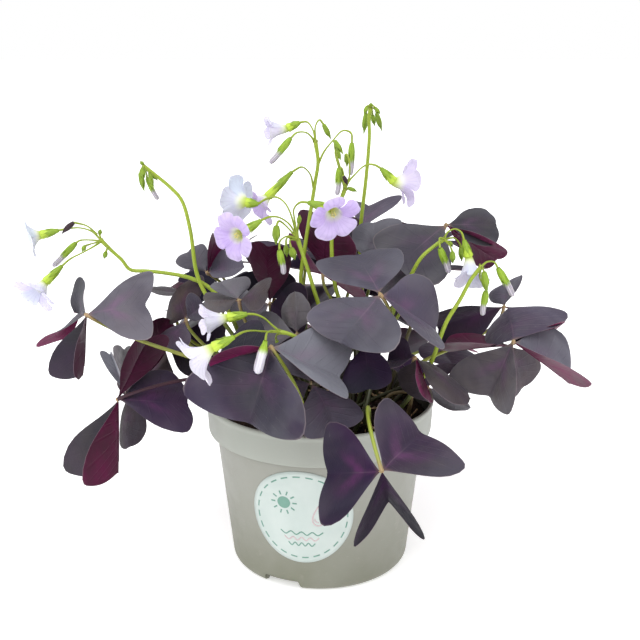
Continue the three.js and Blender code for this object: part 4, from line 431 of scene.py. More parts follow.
def mat_leaf_upper(matt=False):
    """Leaf faces: u from hub to rim, v across; tint r = brown, g = painted light as a grey sheen (below 0: painted
    deep shade), b = purple V mark, a = violet skin.
    """
    k = Nodes("leaf_upper_matt" if matt else "leaf_upper")
    a, v = k.uv()
    brown, light, blot, violet = k.tint()
    b = k.math("ABSOLUTE", k.math("MULTIPLY_ADD", v, 2.0, -1.0))
    n0 = k.noise(26, 2, 0.5)
    n1 = k.noise(62, 3, 0.55)
    n2 = k.noise(230, 4, 0.6)
    n3 = k.noise(950, 3, 0.6)
    slate = k.mix(k.ramp(n1, 0.34, 0.66), (0.030, 0.031, 0.043), (0.040, 0.043, 0.049))
    plum = k.mix(k.ramp(n1, 0.34, 0.66), (0.038, 0.016, 0.058), (0.058, 0.026, 0.066))
    col = k.mix(k.math("MULTIPLY_ADD", k.ramp(n0, 0.35, 0.65), 0.30, k.math("MULTIPLY", violet, 0.85), clamp=True), slate, plum)
    # painted sheen: a greenish grey highlight in large soft patches
    sheen_patch = k.math("MULTIPLY", k.ramp(n0, 0.44, 0.62, 1.0, 0.0), k.ramp(n2, 0.25, 0.7, 0.55, 1.0))
    col = k.mix(k.math("MULTIPLY", sheen_patch, k.math("MULTIPLY_ADD", violet, -0.30, 0.42)), col, (0.078, 0.086, 0.080))
    olive = k.mix(k.ramp(n2, 0.3, 0.7), (0.068, 0.048, 0.040), (0.098, 0.072, 0.058))
    col = k.mix(k.math("MULTIPLY", brown, k.ramp(n1, 0.25, 0.7, 0.65, 1.0)), col, olive)
    # soft V mark: brightest on the midrib, its arms run out toward the two lobes
    arm = k.math("SUBTRACT", a, k.math("MULTIPLY_ADD", b, 0.26, k.math("MULTIPLY_ADD", n1, 0.10, 0.31)))
    band = k.ramp(k.math("ABSOLUTE", arm), 0.015, 0.17, 1.0, 0.0)
    reach = k.ramp(b, 0.05, 0.60, 1.0, 0.0)
    patch = k.math("MULTIPLY", k.math("MULTIPLY", band, reach), k.ramp(n2, 0.28, 0.60, 0.45, 1.0))
    stem = k.math("MULTIPLY", k.ramp(b, 0.0, 0.22, 1.0, 0.0), k.ramp(a, 0.06, 0.40, 0.55, 0.0))
    patch = k.math("MAXIMUM", patch, stem)
    mark = k.mix(violet, (0.155, 0.085, 0.150), (0.135, 0.032, 0.128))
    # painted light: a higher tint g paints the V mark and the skin a paler grey
    mark = k.mix(light, mark, (0.235, 0.165, 0.235))
    col = k.mix(light, col, (0.195, 0.196, 0.228))
    col = k.mix(k.math("MULTIPLY", patch, blot), col, mark)
    # painted shade in soft dark patches, and painted light in the others, stronger toward the rims
    shade = k.ramp(k.noise(38, 2, 0.5, distort=0.6), 0.36, 0.64)
    col = k.mix(k.math("MULTIPLY", k.math("SUBTRACT", 1.0, shade), 0.34), col, (0.022, 0.018, 0.034))
    col = k.mix(k.math("MULTIPLY", k.math("MULTIPLY", shade, k.ramp(b, 0.30, 0.95)), 0.20), col, (0.160, 0.165, 0.190))
    # fine side veins, pale midrib and thin pale margin
    vein = k.math("SINE", k.math("MULTIPLY", k.math("MULTIPLY_ADD", b, 0.06, a), 56.0))
    vein = k.ramp(vein, 0.88, 1.0)
    fade = k.math("MULTIPLY", k.ramp(b, 0.0, 0.08), k.ramp(b, 0.7, 1.0, 1.0, 0.0))
    vein = k.math("MULTIPLY", vein, fade)
    col = k.mix(k.math("MULTIPLY", vein, 0.035), col, (0.12, 0.09, 0.12))
    rib = k.ramp(b, 0.0, 0.028, 1.0, 0.0)
    col = k.mix(k.math("MULTIPLY", rib, k.ramp(a, 0.10, 0.75, 0.34, 0.03)), col, (0.24, 0.16, 0.21))
    rim = k.math("MULTIPLY", k.ramp(b, 0.968, 0.998), k.ramp(n1, 0.35, 0.6, 0.15, 1.0))
    col = k.mix(k.math("MULTIPLY", rim, 0.40), col, (0.30, 0.25, 0.25))
    col = k.mix(k.ramp(a, 0.0, 0.09, 0.55, 0.0), col, (0.24, 0.15, 0.12))
    # dust: pale specks and short wiped streaks
    st = k.new("ShaderNodeMapping")
    st.inputs["Scale"].default_value = (1.0, 2.6, 0.8)
    st.inputs["Rotation"].default_value = (0.3, 0.5, 0.9)
    k.put(st.inputs[0], k.obj())
    streak = k.ramp(k.noise(150, 5, 0.72, vec=st.outputs[0], distort=0.8), 0.63, 0.72)
    speck = k.ramp(n3, 0.70, 0.76)
    dust = k.math("MAXIMUM", k.math("MULTIPLY", streak, 0.20), k.math("MULTIPLY", speck, 0.16))
    col = k.mix(k.math("MULTIPLY", dust, k.ramp(n1, 0.42, 0.62)), col, (0.30, 0.29, 0.30))
    # painted deep shade: a negative tint g darkens leaflets inside the foliage to a nearly black navy
    deep_shade = k.math("MULTIPLY", light, -1.0, clamp=True)
    col = k.mix(deep_shade, col, k.mix(k.ramp(n0, 0.4, 0.6), (0.006, 0.006, 0.014), (0.018, 0.008, 0.026)))
    h = k.math("ADD", k.math("MULTIPLY", vein, -0.5), k.math("MULTIPLY", n3, 0.35))
    h = k.math("ADD", h, k.math("MULTIPLY", n2, 1.0))
    h = k.math("ADD", h, k.math("MULTIPLY", n1, 1.6))
    k.bump(h, 0.00030, 0.7)
    rough = k.ramp(n2, 0.3, 0.7, 0.44, 0.60)
    if matt:
        return k.done(col, k.ramp(n2, 0.3, 0.7, 0.56, 0.72), 0.07)
    return k.done(col, rough, 0.24, Sheen_Weight=0.08, Sheen_Roughness=0.40, Sheen_Tint=(0.80, 0.82, 0.95))


def mat_leaf_under():
    k = Nodes("leaf_under")
    a, v = k.uv()
    b = k.math("ABSOLUTE", k.math("MULTIPLY_ADD", v, 2.0, -1.0))
    n1 = k.noise(70, 3, 0.55)
    n2 = k.noise(400, 3, 0.6)
    col = k.mix(k.ramp(n1, 0.3, 0.7), (0.070, 0.002, 0.027), (0.145, 0.003, 0.058))
    vein = k.ramp(k.math("SINE", k.math("MULTIPLY", k.math("MULTIPLY_ADD", b, 0.06, a), 56.0)), 0.80, 1.0)
    vein = k.math("MULTIPLY", vein, k.ramp(b, 0.7, 1.0, 1.0, 0.0))
    col = k.mix(k.math("MULTIPLY", vein, 0.12), col, (0.16, 0.02, 0.065))
    col = k.mix(k.ramp(b, 0.0, 0.030, 0.35, 0.0), col, (0.24, 0.07, 0.11))
    col = k.mix(k.math("MULTIPLY", k.ramp(b, 0.965, 0.995), 0.35), col, (0.26, 0.10, 0.15))
    # painted shade: a negative tint g darkens the underside toward black
    deep_shade = k.math("MULTIPLY", k.tint()[1], -1.0, clamp=True)
    col = k.mix(deep_shade, col, (0.012, 0.001, 0.007))
    # painted light: a positive tint g paints the underside lighter
    col = k.mix(k.tint()[1], col, (0.30, 0.07, 0.17))
    k.bump(k.math("ADD", vein, k.math("MULTIPLY", n2, 0.5)), 0.0002, 0.6)
    return k.done(col, k.ramp(n1, 0.3, 0.7, 0.45, 0.60), 0.22, Sheen_Weight=0.03, Sheen_Roughness=0.4,
                  Sheen_Tint=(1.0, 0.6, 0.8))


def mat_leaf_edge():
    k = Nodes("leaf_edge")
    n1 = k.noise(300, 2)
    col = k.mix(n1, (0.11, 0.075, 0.10), (0.20, 0.14, 0.17))
    return k.done(col, 0.6, 0.25)


def mat_stem():
    """Green stems: u along the stem; tint r = tan, g = red flush at the top, b = yellow-green light."""
    k = Nodes("stem")
    u, v = k.uv()
    tan, red, bright, _ = k.tint()
    n1 = k.noise(160, 3)
    n2 = k.noise(1200, 2)
    col = k.mix(n1, (0.185, 0.265, 0.016), (0.290, 0.370, 0.028))
    col = k.mix(bright, col, k.mix(n1, (0.36, 0.50, 0.030), (0.47, 0.60, 0.050)))
    col = k.mix(k.math("MULTIPLY", tan, k.ramp(n1, 0.25, 0.7, 0.6, 1.0)), col, (0.300, 0.225, 0.085))
    col = k.mix(k.math("MULTIPLY", red, k.ramp(u, 0.90, 1.0)), col, (0.40, 0.22, 0.16))
    col = k.mix(k.ramp(u, 0.0, 0.12, 0.45, 0.0), col, (0.42, 0.36, 0.18))
    # painted shade: low stems near the middle are darkened to near black; stems with a high tan tint keep a real dry
    # tan instead
    z = k.new("ShaderNodeSeparateXYZ")
    k.put(z.inputs[0], k.obj())
    rr = k.math("SQRT", k.math("ADD", k.math("MULTIPLY", z.outputs[0], z.outputs[0]), k.math("MULTIPLY", z.outputs[1], z.outputs[1])))
    inner = k.math("MULTIPLY", k.ramp(rr, 0.050, 0.064, 1.0, 0.0), k.ramp(z.outputs[2], 0.112, 0.152, 1.0, 0.0))
    shaded_and_aged = k.mix(k.ramp(tan, 0.45, 0.75), (0.020, 0.020, 0.009), k.mix(n1, (0.16, 0.105, 0.055), (0.36, 0.28, 0.15)))
    col = k.mix(k.math("MULTIPLY", inner, 0.92), col, shaded_and_aged)
    col = k.mix(k.math("MULTIPLY", bright, -1.0, clamp=True), col, k.mix(n1, (0.030, 0.008, 0.018), (0.060, 0.018, 0.030)))
    line = k.math("SINE", k.math("MULTIPLY", v, 6.2832 * 7))
    k.bump(k.math("ADD", k.math("MULTIPLY", line, 0.4), n2), 0.00012, 0.7)
    return k.done(col, k.ramp(n1, 0.3, 0.7, 0.40, 0.52), 0.45, Subsurface_Weight=0.12,
                  Subsurface_Radius=(0.002, 0.003, 0.0006), Subsurface_Scale=0.4)


def mat_bud():
    """Buds and cups: u from stem end to tip; tint r = pale tip from here on, g = dark, b = pale tube."""
    k = Nodes("bud")
    u, v = k.uv()
    pale, dark, tube, _ = k.tint()
    n1 = k.noise(420, 3)
    stripe = k.math("SINE", k.math("MULTIPLY", v, 6.2832 * 10))
    col = k.mix(n1, (0.205, 0.345, 0.020), (0.355, 0.515, 0.036))
    col = k.mix(k.math("MULTIPLY", k.ramp(stripe, 0.3, 1.0), 0.28), col, (0.14, 0.26, 0.015))
    col = k.mix(tube, col, k.mix(k.ramp(u, 0.0, 1.0), (0.31, 0.50, 0.026), (0.56, 0.73, 0.070)))
    white = k.mix(k.ramp(stripe, 0.2, 1.0), k.mix(tube, (0.56, 0.52, 0.57), (0.76, 0.73, 0.80)), k.mix(tube, (0.31, 0.27, 0.33), (0.66, 0.62, 0.72)))
    col = k.mix(pale, col, white)
    col = k.mix(dark, col, (0.030, 0.010, 0.016))
    k.bump(k.math("ADD", k.math("MULTIPLY", stripe, 0.6), n1), 0.00012, 0.7)
    return k.done(col, 0.46, 0.45, Subsurface_Weight=0.12, Subsurface_Radius=(0.002, 0.003, 0.001),
                  Subsurface_Scale=0.4)


def mat_petal(outside=False):
    """Petals: u from throat to tip, v across; tint r = lilac amount, b = pale blue painted shade."""
    k = Nodes("petal_back" if outside else "petal")
    u, v = k.uv()
    lil, _, blue_shade, _ = k.tint()
    n1 = k.noise(260, 3)
    w = k.math("MULTIPLY_ADD", v, 2.0, -1.0)
    vein = k.math("SINE", k.math("MULTIPLY", k.math("DIVIDE", w, k.math("ADD", u, 0.35)), 17.0))
    vein = k.math("MULTIPLY", k.ramp(vein, 0.55, 1.0), k.ramp(u, 0.25, 0.6))
    limb = k.mix(k.ramp(n1, 0.3, 0.7), (0.440, 0.305, 0.690), (0.530, 0.385, 0.770))
    # painted shade: the b tint turns white petals pale blue-grey
    pale = k.mix(blue_shade, (0.84, 0.76, 0.91), (0.60, 0.72, 0.82))
    limb = k.mix(lil, pale, limb)
    limb = k.mix(k.math("MULTIPLY", vein, 0.22), limb, k.mix(lil, (0.50, 0.46, 0.66), (0.30, 0.19, 0.52)))
    if outside:
        # petal backs get a greyer, bluer painted shade
        limb = k.mix(0.30, limb, k.mix(blue_shade, (0.74, 0.71, 0.82), (0.62, 0.74, 0.82)))
    throat = k.mix(k.ramp(u, 0.10, 0.34), (0.48, 0.60, 0.07) if outside else (0.55, 0.60, 0.10), (0.80, 0.82, 0.66))
    col = k.mix(k.ramp(u, 0.24, 0.50), throat, limb)
    col = k.mix(k.ramp(u, 0.90, 1.0, 0.0, 0.25), col, (0.74, 0.68, 0.84))
    k.bump(k.math("ADD", vein, k.math("MULTIPLY", n1, 0.5)), 0.00016, 0.6)
    return k.done(col, 0.55, 0.3, Subsurface_Weight=0.25, Subsurface_Radius=(0.003, 0.0026, 0.0034),
                  Subsurface_Scale=0.5, Sheen_Weight=0.15)


def mat_anther():
    k = Nodes("anther")
    return k.done(k.mix(k.noise(2500, 2), (0.70, 0.62, 0.16), (0.86, 0.80, 0.34)), 0.7, 0.3)


def mat_pot():
    k = Nodes("pot_plastic")
    s = k.new("ShaderNodeSeparateXYZ")
    k.put(s.inputs[0], k.obj())
    z = s.outputs[2]
    n1 = k.noise(18, 4, 0.6)
    n2 = k.noise(2200, 3, 0.7)
    n3 = k.noise(90, 5, 0.65)
    # painted shade: the wall is painted darker and more olive toward the bottom
    top, low = (0.282, 0.284, 0.248), (0.165, 0.168, 0.118)
    col = k.mix(k.ramp(z, -0.004, 0.060), low, top)
    col = k.mix(k.ramp(n1, 0.3, 0.72, 0.0, 0.30), col, (0.335, 0.335, 0.30))
    # painted light: the rim band, with no soil behind it, is painted a little lighter and cooler
    col = k.mix(k.ramp(z, 0.0725, 0.0745, 0.0, 0.75), col, (0.345, 0.365, 0.325))
    # the inside above the soil is stained by it, and painted shade darkens it too
    rr = k.math("SQRT", k.math("ADD", k.math("MULTIPLY", s.outputs[0], s.outputs[0]), k.math("MULTIPLY", s.outputs[1], s.outputs[1])))
    col = k.mix(k.math("MULTIPLY", k.ramp(rr, 0.0581, 0.0585, 1.0, 0.0), k.ramp(z, 0.070, 0.078, 0.0, 0.88)), col, (0.050, 0.042, 0.034))
    # wiped dust and fine scuffs
    col = k.mix(k.ramp(n3, 0.60, 0.76, 0.0, 0.22), col, (0.37, 0.36, 0.32))
    st = k.new("ShaderNodeMapping")
    st.inputs["Scale"].default_value = (1.0, 1.0, 14.0)
    k.put(st.inputs[0], k.obj())
    scuff = k.ramp(k.noise(240, 2, 0.5, vec=st.outputs[0]), 0.66, 0.74)
    col = k.mix(k.math("MULTIPLY", scuff, 0.16), col, (0.50, 0.49, 0.44))
    k.bump(k.math("ADD", k.math("MULTIPLY", n2, 0.5), k.math("MULTIPLY", n3, 0.9)), 0.00010, 0.55)
    return k.done(col, k.ramp(n3, 0.35, 0.7, 0.42, 0.56), 0.42, Subsurface_Weight=0.08,
                  Subsurface_Radius=(0.004, 0.004, 0.003), Subsurface_Scale=0.5)


def mat_soil():
    k = Nodes("soil")
    n1 = k.noise(260, 5, 0.7)
    n2 = k.noise(1400, 4, 0.7)
    v = k.new("ShaderNodeTexVoronoi")
    v.inputs["Scale"].default_value = 520
    k.put(v.inputs["Vector"], k.obj())
    col = k.mix(k.ramp(n1, 0.35, 0.65), (0.010, 0.006, 0.005), (0.040, 0.021, 0.013))
    col = k.mix(k.ramp(n2, 0.60, 0.72, 0.0, 0.7), col, (0.12, 0.07, 0.04))
    col = k.mix(k.ramp(n2, 0.75, 0.80, 0.0, 0.8), col, (0.30, 0.22, 0.13))
    h = k.math("ADD", k.math("MULTIPLY", v.outputs["Distance"], 1.2), k.math("MULTIPLY", n2, 1.0))
    k.bump(h, 0.0010, 0.9)
    return k.done(col, 0.92, 0.2)


def mat_dead():
    k = Nodes("dry_stem")
    n1 = k.noise(500, 4, 0.6)
    col = k.mix(n1, (0.34, 0.22, 0.11), (0.62, 0.48, 0.29))
    k.bump(n1, 0.0003, 0.7)
    return k.done(col, 0.75, 0.3)


def mat_label(name, c1, c2):
    k = Nodes(name)
    n1 = k.noise(60, 3)
    n2 = k.noise(2600, 2)
    col = k.mix(k.ramp(n1, 0.3, 0.7), c1, c2)
    k.bump(k.math("ADD", k.math("MULTIPLY", n1, 0.8), k.math("MULTIPLY", n2, 0.2)), 0.00006, 0.5)
    return k.done(col, k.ramp(n1, 0.3, 0.7, 0.30, 0.40), 0.45, Coat_Weight=0.15, Coat_Roughness=0.3)


def mat_floor():
    k = Nodes("studio_floor")
    n1 = k.noise(6, 3)
    return k.done(k.mix(n1, (0.94, 0.94, 0.94), (0.96, 0.96, 0.96)), 0.75, 0.1, Emission_Color=(1.0, 1.0, 1.0), Emission_Strength=0.46)


LEAF_MATS = [mat_leaf_upper(), mat_leaf_under(), mat_leaf_edge(), mat_stem(), mat_leaf_upper(True)]
STALK_MATS = [mat_stem(), mat_bud()]
PETAL_MATS = [mat_petal(), mat_petal(True), mat_anther(), mat_bud()]


# ------------------------------------------------------------------ leaves
def leaflet(pc, h, N, P, M, rng, brown, blot, light, violet, below, matt, twist):
    R_, C_ = 26, 11
    mid = N - h
    L = np.linalg.norm(mid)
    m = mid / L
    start = 1.1
    nP, nM = unit(np.cross(mid, P - h)), unit(np.cross(M - h, mid))
    nA = unit(nP + nM)
    q = np.linspace(0, 1, R_ + 1)
    q = q + 0.06 * np.sin(2 * math.pi * q) * -1 * 0.5
    bow = rng.normal(0, 0.5) * 0.9
    S = np.zeros((R_ + 1, 2 * C_ + 1, 3))
    UV = np.zeros((R_ + 1, 2 * C_ + 1, 2))
    mids = h + m * start + (mid - m * start) * q[:, None] + nA * (bow * 4 * q * (1 - q))[:, None]
    mids = mids + np.cross(m, nA) * (rng.normal(0, 0.25) * np.sin(2 * math.pi * q))[:, None]
    for sgn, Q, n in ((1, P, nP), (-1, M, nM)):
        e = np.stack([np.interp(q, np.linspace(0, 1, len(EDGE)), EDGE[:, k]) for k in (0, 1)], 1)
        shift = m * start * (1 - e[:, :1] - e[:, 1:2]).clip(0, 1)
        rim = h + e[:, :1] * mid + e[:, 1:2] * (Q - h) + shift
        side = unit(np.cross(n, m)) * sgn
        rim[0] = h + m * start + side * 0.30
        bulge = rng.normal(0.30, 0.40)
        ph, fr = rng.uniform(0, 6.28), rng.uniform(1.2, 2.2)
        droop = rng.normal(-0.2, 0.5)
        for j in range(C_ + 1):
            b = (j / C_) ** 0.9
            w = bulge * 4 * b * (1 - b) * np.sin(math.pi * q) ** 0.7 * 0.9
            w = w + 0.42 * np.sin(2 * math.pi * fr * q + ph) * b ** 2.2 * np.sin(math.pi * q)
            w = w + droop * b ** 3 * np.sin(math.pi * np.clip(q, 0, 1)) ** 1.2
            w = w + 0.16 * np.exp(-(b / 0.10) ** 2) * np.sin(math.pi * q) * 0
            # side veins press shallow valleys into the skin
            w = w - 0.050 * np.clip(np.cos((q + 0.06 * b) * 56.0), 0, 1) ** 3 * min(1, b * 6) * (1 - b)
            p = mids * (1 - b) + rim * b + n * w[:, None]
            turn = twist[0 if sgn > 0 else 1]
            if turn:
                ax = unit(Q - h)
                o = h + 0.06 * (N - h)
                al = (p - o) @ ax
                an = turn * smooth(al / np.linalg.norm(Q - h), 0.30, 0.72) * min(1.0, b * 1.6)
                rel = p - o - al[:, None] * ax
                p = o + al[:, None] * ax + rel * np.cos(an)[:, None] + np.cross(ax, rel) * np.sin(an)[:, None]
            col = C_ + sgn * j
            S[:, col] = p
            UV[:, col, 0] = q
            UV[:, col, 1] = 0.5 + 0.5 * sgn * b
    # normals of the mid surface, upper side
    du = np.gradient(S, axis=0)
    dv = np.gradient(S, axis=1)
    Nn = np.cross(du, dv)
    ln = np.linalg.norm(Nn, axis=2, keepdims=True)
    want = np.concatenate([np.tile(nM, (C_, 1)), nA[None], np.tile(nP, (C_, 1))])
    Nn = np.where(ln > 1e-6, Nn / np.maximum(ln, 1e-9), want[None])
    flip = np.sum(Nn * want[None], axis=2, keepdims=True) < 0
    Nn = np.where(flip, -Nn, Nn)
    bb = np.abs(np.arange(2 * C_ + 1) - C_) / C_
    th = 0.34 - 0.20 * bb[None, :] ** 4 + 0.0 * q[:, None]
    th = th * (1 - 0.5 * q[:, None] ** 8)
    tint = (brown, light, blot, violet)
    pc.shell(S, Nn, th, ({0: 0, 1: 4, 2: 1}[matt], 1, 2), UV.reshape(-1, 2), tint, (0.0, below, 0.0, 1.0))
    # raised rib under the fold and the short stalk of the leaflet
    rib = mids - nA * (0.20 + 0.10 * (1 - q))[:, None]
    k = int(R_ * 0.86)
    pc.tube(rib[:k], np.linspace(0.34, 0.10, k), 6, 1, (0.0, below, 0.0, 1.0), 0.0, 0.86)
    pc.tube(np.array([h - m * 0.1, h + m * start * 0.55, h + m * (start + 0.5) - nA * 0.1]), [0.60, 0.52, 0.34], 8, 3,
            (0.55, 0.6, 0.0, 1), 0.97, 1.0)


# leaflet tones, one row a leaflet: brown, painted light as a grey sheen (below 0: painted deep shade), purple mark,
# violet skin, underside painted light (below 0: painted shade, darker), skin (0 glossy, 1 matt, 2 wine red on both
# faces)
TONES = {
    "leaf_01": [(0.42, 0.39, 0.55, 1.00, 0.00, 0), (0.10, 0.09, 0.30, 0.20, 0.00, 0), (0.95, -0.83, 0.40, 1.00, -0.77, 0)],
    "leaf_02": [(0.00, -0.44, 0.85, 1.00, 0.00, 0), (0.95, -0.73, 0.50, 1.00, -0.40, 0), (0.10, 0.09, 0.40, 0.30, -0.67, 0)],
    "leaf_03": [(0.00, -0.14, 0.50, 0.45, 0.00, 0), (0.00, 1.00, 0.45, 1.00, 0.00, 0), (0.00, -0.90, 0.40, 1.00, 0.06, 0)],
    "leaf_04": [(0.00, 0.28, 0.55, 0.62, 0.00, 0), (0.00, 0.27, 0.55, 0.53, 0.00, 0), (0.00, 0.17, 0.40, 0.85, 0.00, 0)],
    "leaf_05": [(0.93, 0.27, 0.60, 1.00, 0.00, 0), (0.00, 0.63, 0.45, 1.00, 0.02, 0), (0.00, 0.16, 0.30, 1.00, 0.00, 0)],
    "leaf_06": [(0.00, -0.47, 0.95, 0.83, 0.00, 1), (0.15, -0.13, 1.00, 0.68, 0.00, 0), (0.95, -0.87, 0.80, 1.00, 0.00, 1)],
    "leaf_07": [(0.22, 0.14, 0.40, 0.30, 0.00, 0), (0.16, -0.05, 0.30, 0.17, 0.00, 1), (0.40, 0.01, 0.30, 0.30, 0.29, 0)],
    "leaf_08": [(0.00, 0.25, 0.30, 1.00, 0.00, 0), (0.00, 0.31, 0.30, 1.00, 0.00, 0), (0.00, 0.73, 0.30, 1.00, 0.00, 0)],
    "leaf_09": [(0.95, 0.59, 0.20, 0.59, 0.00, 0), (0.95, 0.11, 0.15, 0.00, 0.00, 0), (0.95, -0.32, 0.20, 1.00, 0.00, 0)],
    "leaf_10": [(0.18, 0.11, 0.30, 1.00, 0.00, 0), (0.00, -0.09, 0.30, 0.10, 0.00, 0), (0.95, -0.31, 0.30, 1.00, 0.00, 1)],
    "leaf_11": [(0.00, -0.55, 0.50, 0.96, 0.00, 0), (0.95, -0.51, 0.50, 1.00, 0.10, 0), (0.95, -0.32, 0.50, 1.00, 0.00, 0)],
    "leaf_12": [(0.50, 0.54, 0.30, 0.69, 0.00, 0), (0.20, 0.04, 0.30, 0.30, -0.08, 0), (0.00, 0.37, 0.30, 1.00, 0.00, 0)],
    "leaf_13": [(0.95, 0.33, 0.20, 0.33, 0.00, 0), (0.95, 0.52, 0.20, 0.00, 0.00, 0), (0.75, 0.13, 0.20, 0.10, 0.00, 0)],
    "leaf_14": [(0.00, 0.52, 0.30, 1.00, 0.00, 0), (0.38, -0.50, 0.30, 1.00, 0.00, 1), (0.25, 0.04, 0.35, 0.30, 0.00, 0)],
    "leaf_15": [(0.65, -0.23, 0.30, 1.00, -0.30, 2), (0.72, 0.02, 0.30, 1.00, 0.00, 0), (0.25, 0.04, 0.35, 0.30, 0.00, 0)],
    "leaf_16": [(0.20, 0.04, 0.30, 0.30, -0.64, 0), (0.25, 0.04, 0.35, 0.30, 0.00, 0), (0.25, 0.04, 0.35, 0.30, 0.00, 0)],
    "leaf_17": [(0.95, 0.63, 0.30, 1.00, 0.00, 0), (0.33, -0.02, 0.30, 1.00, 0.00, 0), (0.00, -0.19, 0.30, 1.00, 0.00, 1)],
    "leaf_18": [(0.20, 0.04, 0.30, 0.30, -0.56, 0), (0.89, 0.64, 0.30, 0.00, 0.00, 0), (0.95, -0.84, 0.30, 1.00, 0.00, 1)],
    "leaf_19": [(0.20, 0.04, 0.30, 0.30, -0.65, 0), (0.20, 0.04, 0.30, 0.30, 0.60, 0), (0.20, 0.04, 0.30, 0.30, 0.60, 0)],
    "leaf_20": [(0.50, 0.75, 0.30, 0.81, 0.00, 0), (0.25, 0.04, 0.35, 0.30, 0.00, 0), (0.25, 0.04, 0.35, 0.30, 0.00, 0)],
    "leaf_21": [(0.08, 0.22, 0.30, 1.00, 0.00, 0), (0.25, 0.04, 0.35, 0.30, 0.00, 0), (0.25, 0.04, 0.35, 0.30, 0.00, 0)],
    "leaf_22": [(0.92, -0.35, 0.30, 0.74, 0.00, 0), (0.00, -0.90, 0.35, 1.00, 0.00, 1), (0.25, 0.04, 0.35, 0.30, 0.00, 0)],
    "leaf_23": [(0.95, -0.64, 0.30, 1.00, 0.00, 1), (0.95, -0.46, 0.35, 1.00, 0.00, 0), (0.00, 1.00, 0.35, 0.98, 0.00, 0)],
    "leaf_24": [(0.95, -0.90, 0.30, 1.00, 0.00, 1), (0.00, -0.47, 0.30, 1.00, 0.00, 1), (0.10, -0.19, 0.20, 0.50, 0.00, 1)],
    "leaf_25": [(0.00, 0.06, 0.30, 1.00, 0.00, 0), (0.10, -0.19, 0.20, 0.50, 0.00, 1), (0.00, 1.00, 0.30, 1.00, 0.00, 0)],
    "leaf_26": [(0.95, 0.05, 0.30, 0.70, 0.00, 1), (0.10, -0.19, 0.20, 0.50, 0.00, 1), (0.10, -0.19, 0.20, 0.50, 0.00, 1)],
    "leaf_27": [(0.00, 0.30, 0.30, 1.00, 0.00, 0), (0.10, -0.19, 0.20, 0.50, 0.00, 1), (0.10, -0.19, 0.20, 0.50, 0.00, 1)],
    "leaf_28": [(0.10, -0.19, 0.20, 0.50, 0.00, 1), (0.10, -0.19, 0.20, 0.50, 0.00, 1), (0.00, -0.90, 0.30, 1.00, 0.00, 1)],
    "leaf_29": [(0.00, -0.74, 0.30, 0.46, 0.00, 1), (0.00, 0.00, 0.30, 0.87, 0.00, 0), (0.00, -0.37, 0.30, 1.00, 0.00, 0)],
    "leaf_30": [(0.10, -0.19, 0.20, 0.50, 0.00, 1), (0.10, -0.19, 0.20, 0.50, 0.00, 1), (0.10, -0.19, 0.20, 0.50, 0.00, 1)],
    "leaf_31": [(0.10, -0.19, 0.20, 0.50, 0.00, 1), (0.10, -0.19, 0.20, 0.50, 0.00, 1), (0.10, -0.19, 0.20, 0.50, 0.00, 1)],
    "leaf_32": [(0.10, -0.19, 0.20, 0.50, 0.00, 1), (0.10, -0.19, 0.20, 0.50, 0.00, 1), (0.10, -0.19, 0.20, 0.50, 0.00, 1)],
    "leaf_33": [(0.10, -0.19, 0.20, 0.50, 0.00, 1), (0.10, -0.19, 0.20, 0.50, 0.00, 1), (0.10, -0.19, 0.20, 0.50, 0.00, 1)],
    "leaf_34": [(0.10, -0.19, 0.20, 0.50, 0.00, 1), (0.10, -0.19, 0.20, 0.50, 0.00, 1), (0.10, -0.19, 0.20, 0.50, 0.00, 1)],
    "leaf_35": [(0.10, -0.19, 0.20, 0.50, 0.00, 1), (0.10, -0.19, 0.20, 0.50, 0.00, 1), (0.10, -0.19, 0.20, 0.50, 0.00, 1)],
    "leaf_36": [(0.10, -0.19, 0.20, 0.50, 0.00, 1), (0.10, -0.19, 0.20, 0.50, 0.00, 1), (0.10, -0.19, 0.20, 0.50, 0.00, 1)],
}


# leaflets whose two lobes turn about their own length (radians), so they show a face where the fold is seen end on
TWIST = {("leaf_01", 1): (0.80, 0.60)}


def leaf(i, name, stem, leaflets):
    rng = np.random.default_rng(100 + i)
    pc = Piece(name)
    P = np.asarray(stem, float)
    h = P[3]
    c = bezier(P, 40)
    d0 = unit(c[0] - c[1])
    low = c[0] + d0 * 2.6
    pts = resample(np.vstack([low, c]), 34)
    t = np.linspace(0, 1, len(pts))
    wob = np.sin(math.pi * t)[:, None] * 0.25 * np.stack([np.sin(9 * t + rng.uniform(0, 6)), np.cos(8 * t + rng.uniform(0, 6)), 0 * t], 1)
    wob[t > 0.9] = 0
    rad = 1.18 - 0.36 * t ** 0.8
    rad = rad + 0.22 * np.exp(-((t - 1.0) / 0.03) ** 2)
    tan = float(np.clip(rng.normal(0.42, 0.25), 0, 1)) * (0.3 if name in ("leaf_06", "leaf_03") else 1.0)
    tan = {"leaf_01": 0.55, "leaf_02": 0.0}.get(name, tan)
    pc.tube(pts, rad, 10, 3, (tan, 0.7, {"leaf_06": 0.30, "leaf_03": 0.12, "leaf_02": -1.0}.get(name, 0.0), 1), 0.0, 1.0)
    ball(pc, h, 0.95, 3, (0.75, 0.8, 0.1, 1))
    for k, (N, A, B) in enumerate(leaflets):
        brown, light, blot, violet, below, matt = TONES[name][k]
        leaflet(pc, h, *(np.array(x, float) for x in (N, A, B)), rng, brown, blot, light, violet, below, matt,
                TWIST.get((name, k), (0.0, 0.0)))
    pc.make(LEAF_MATS, name)


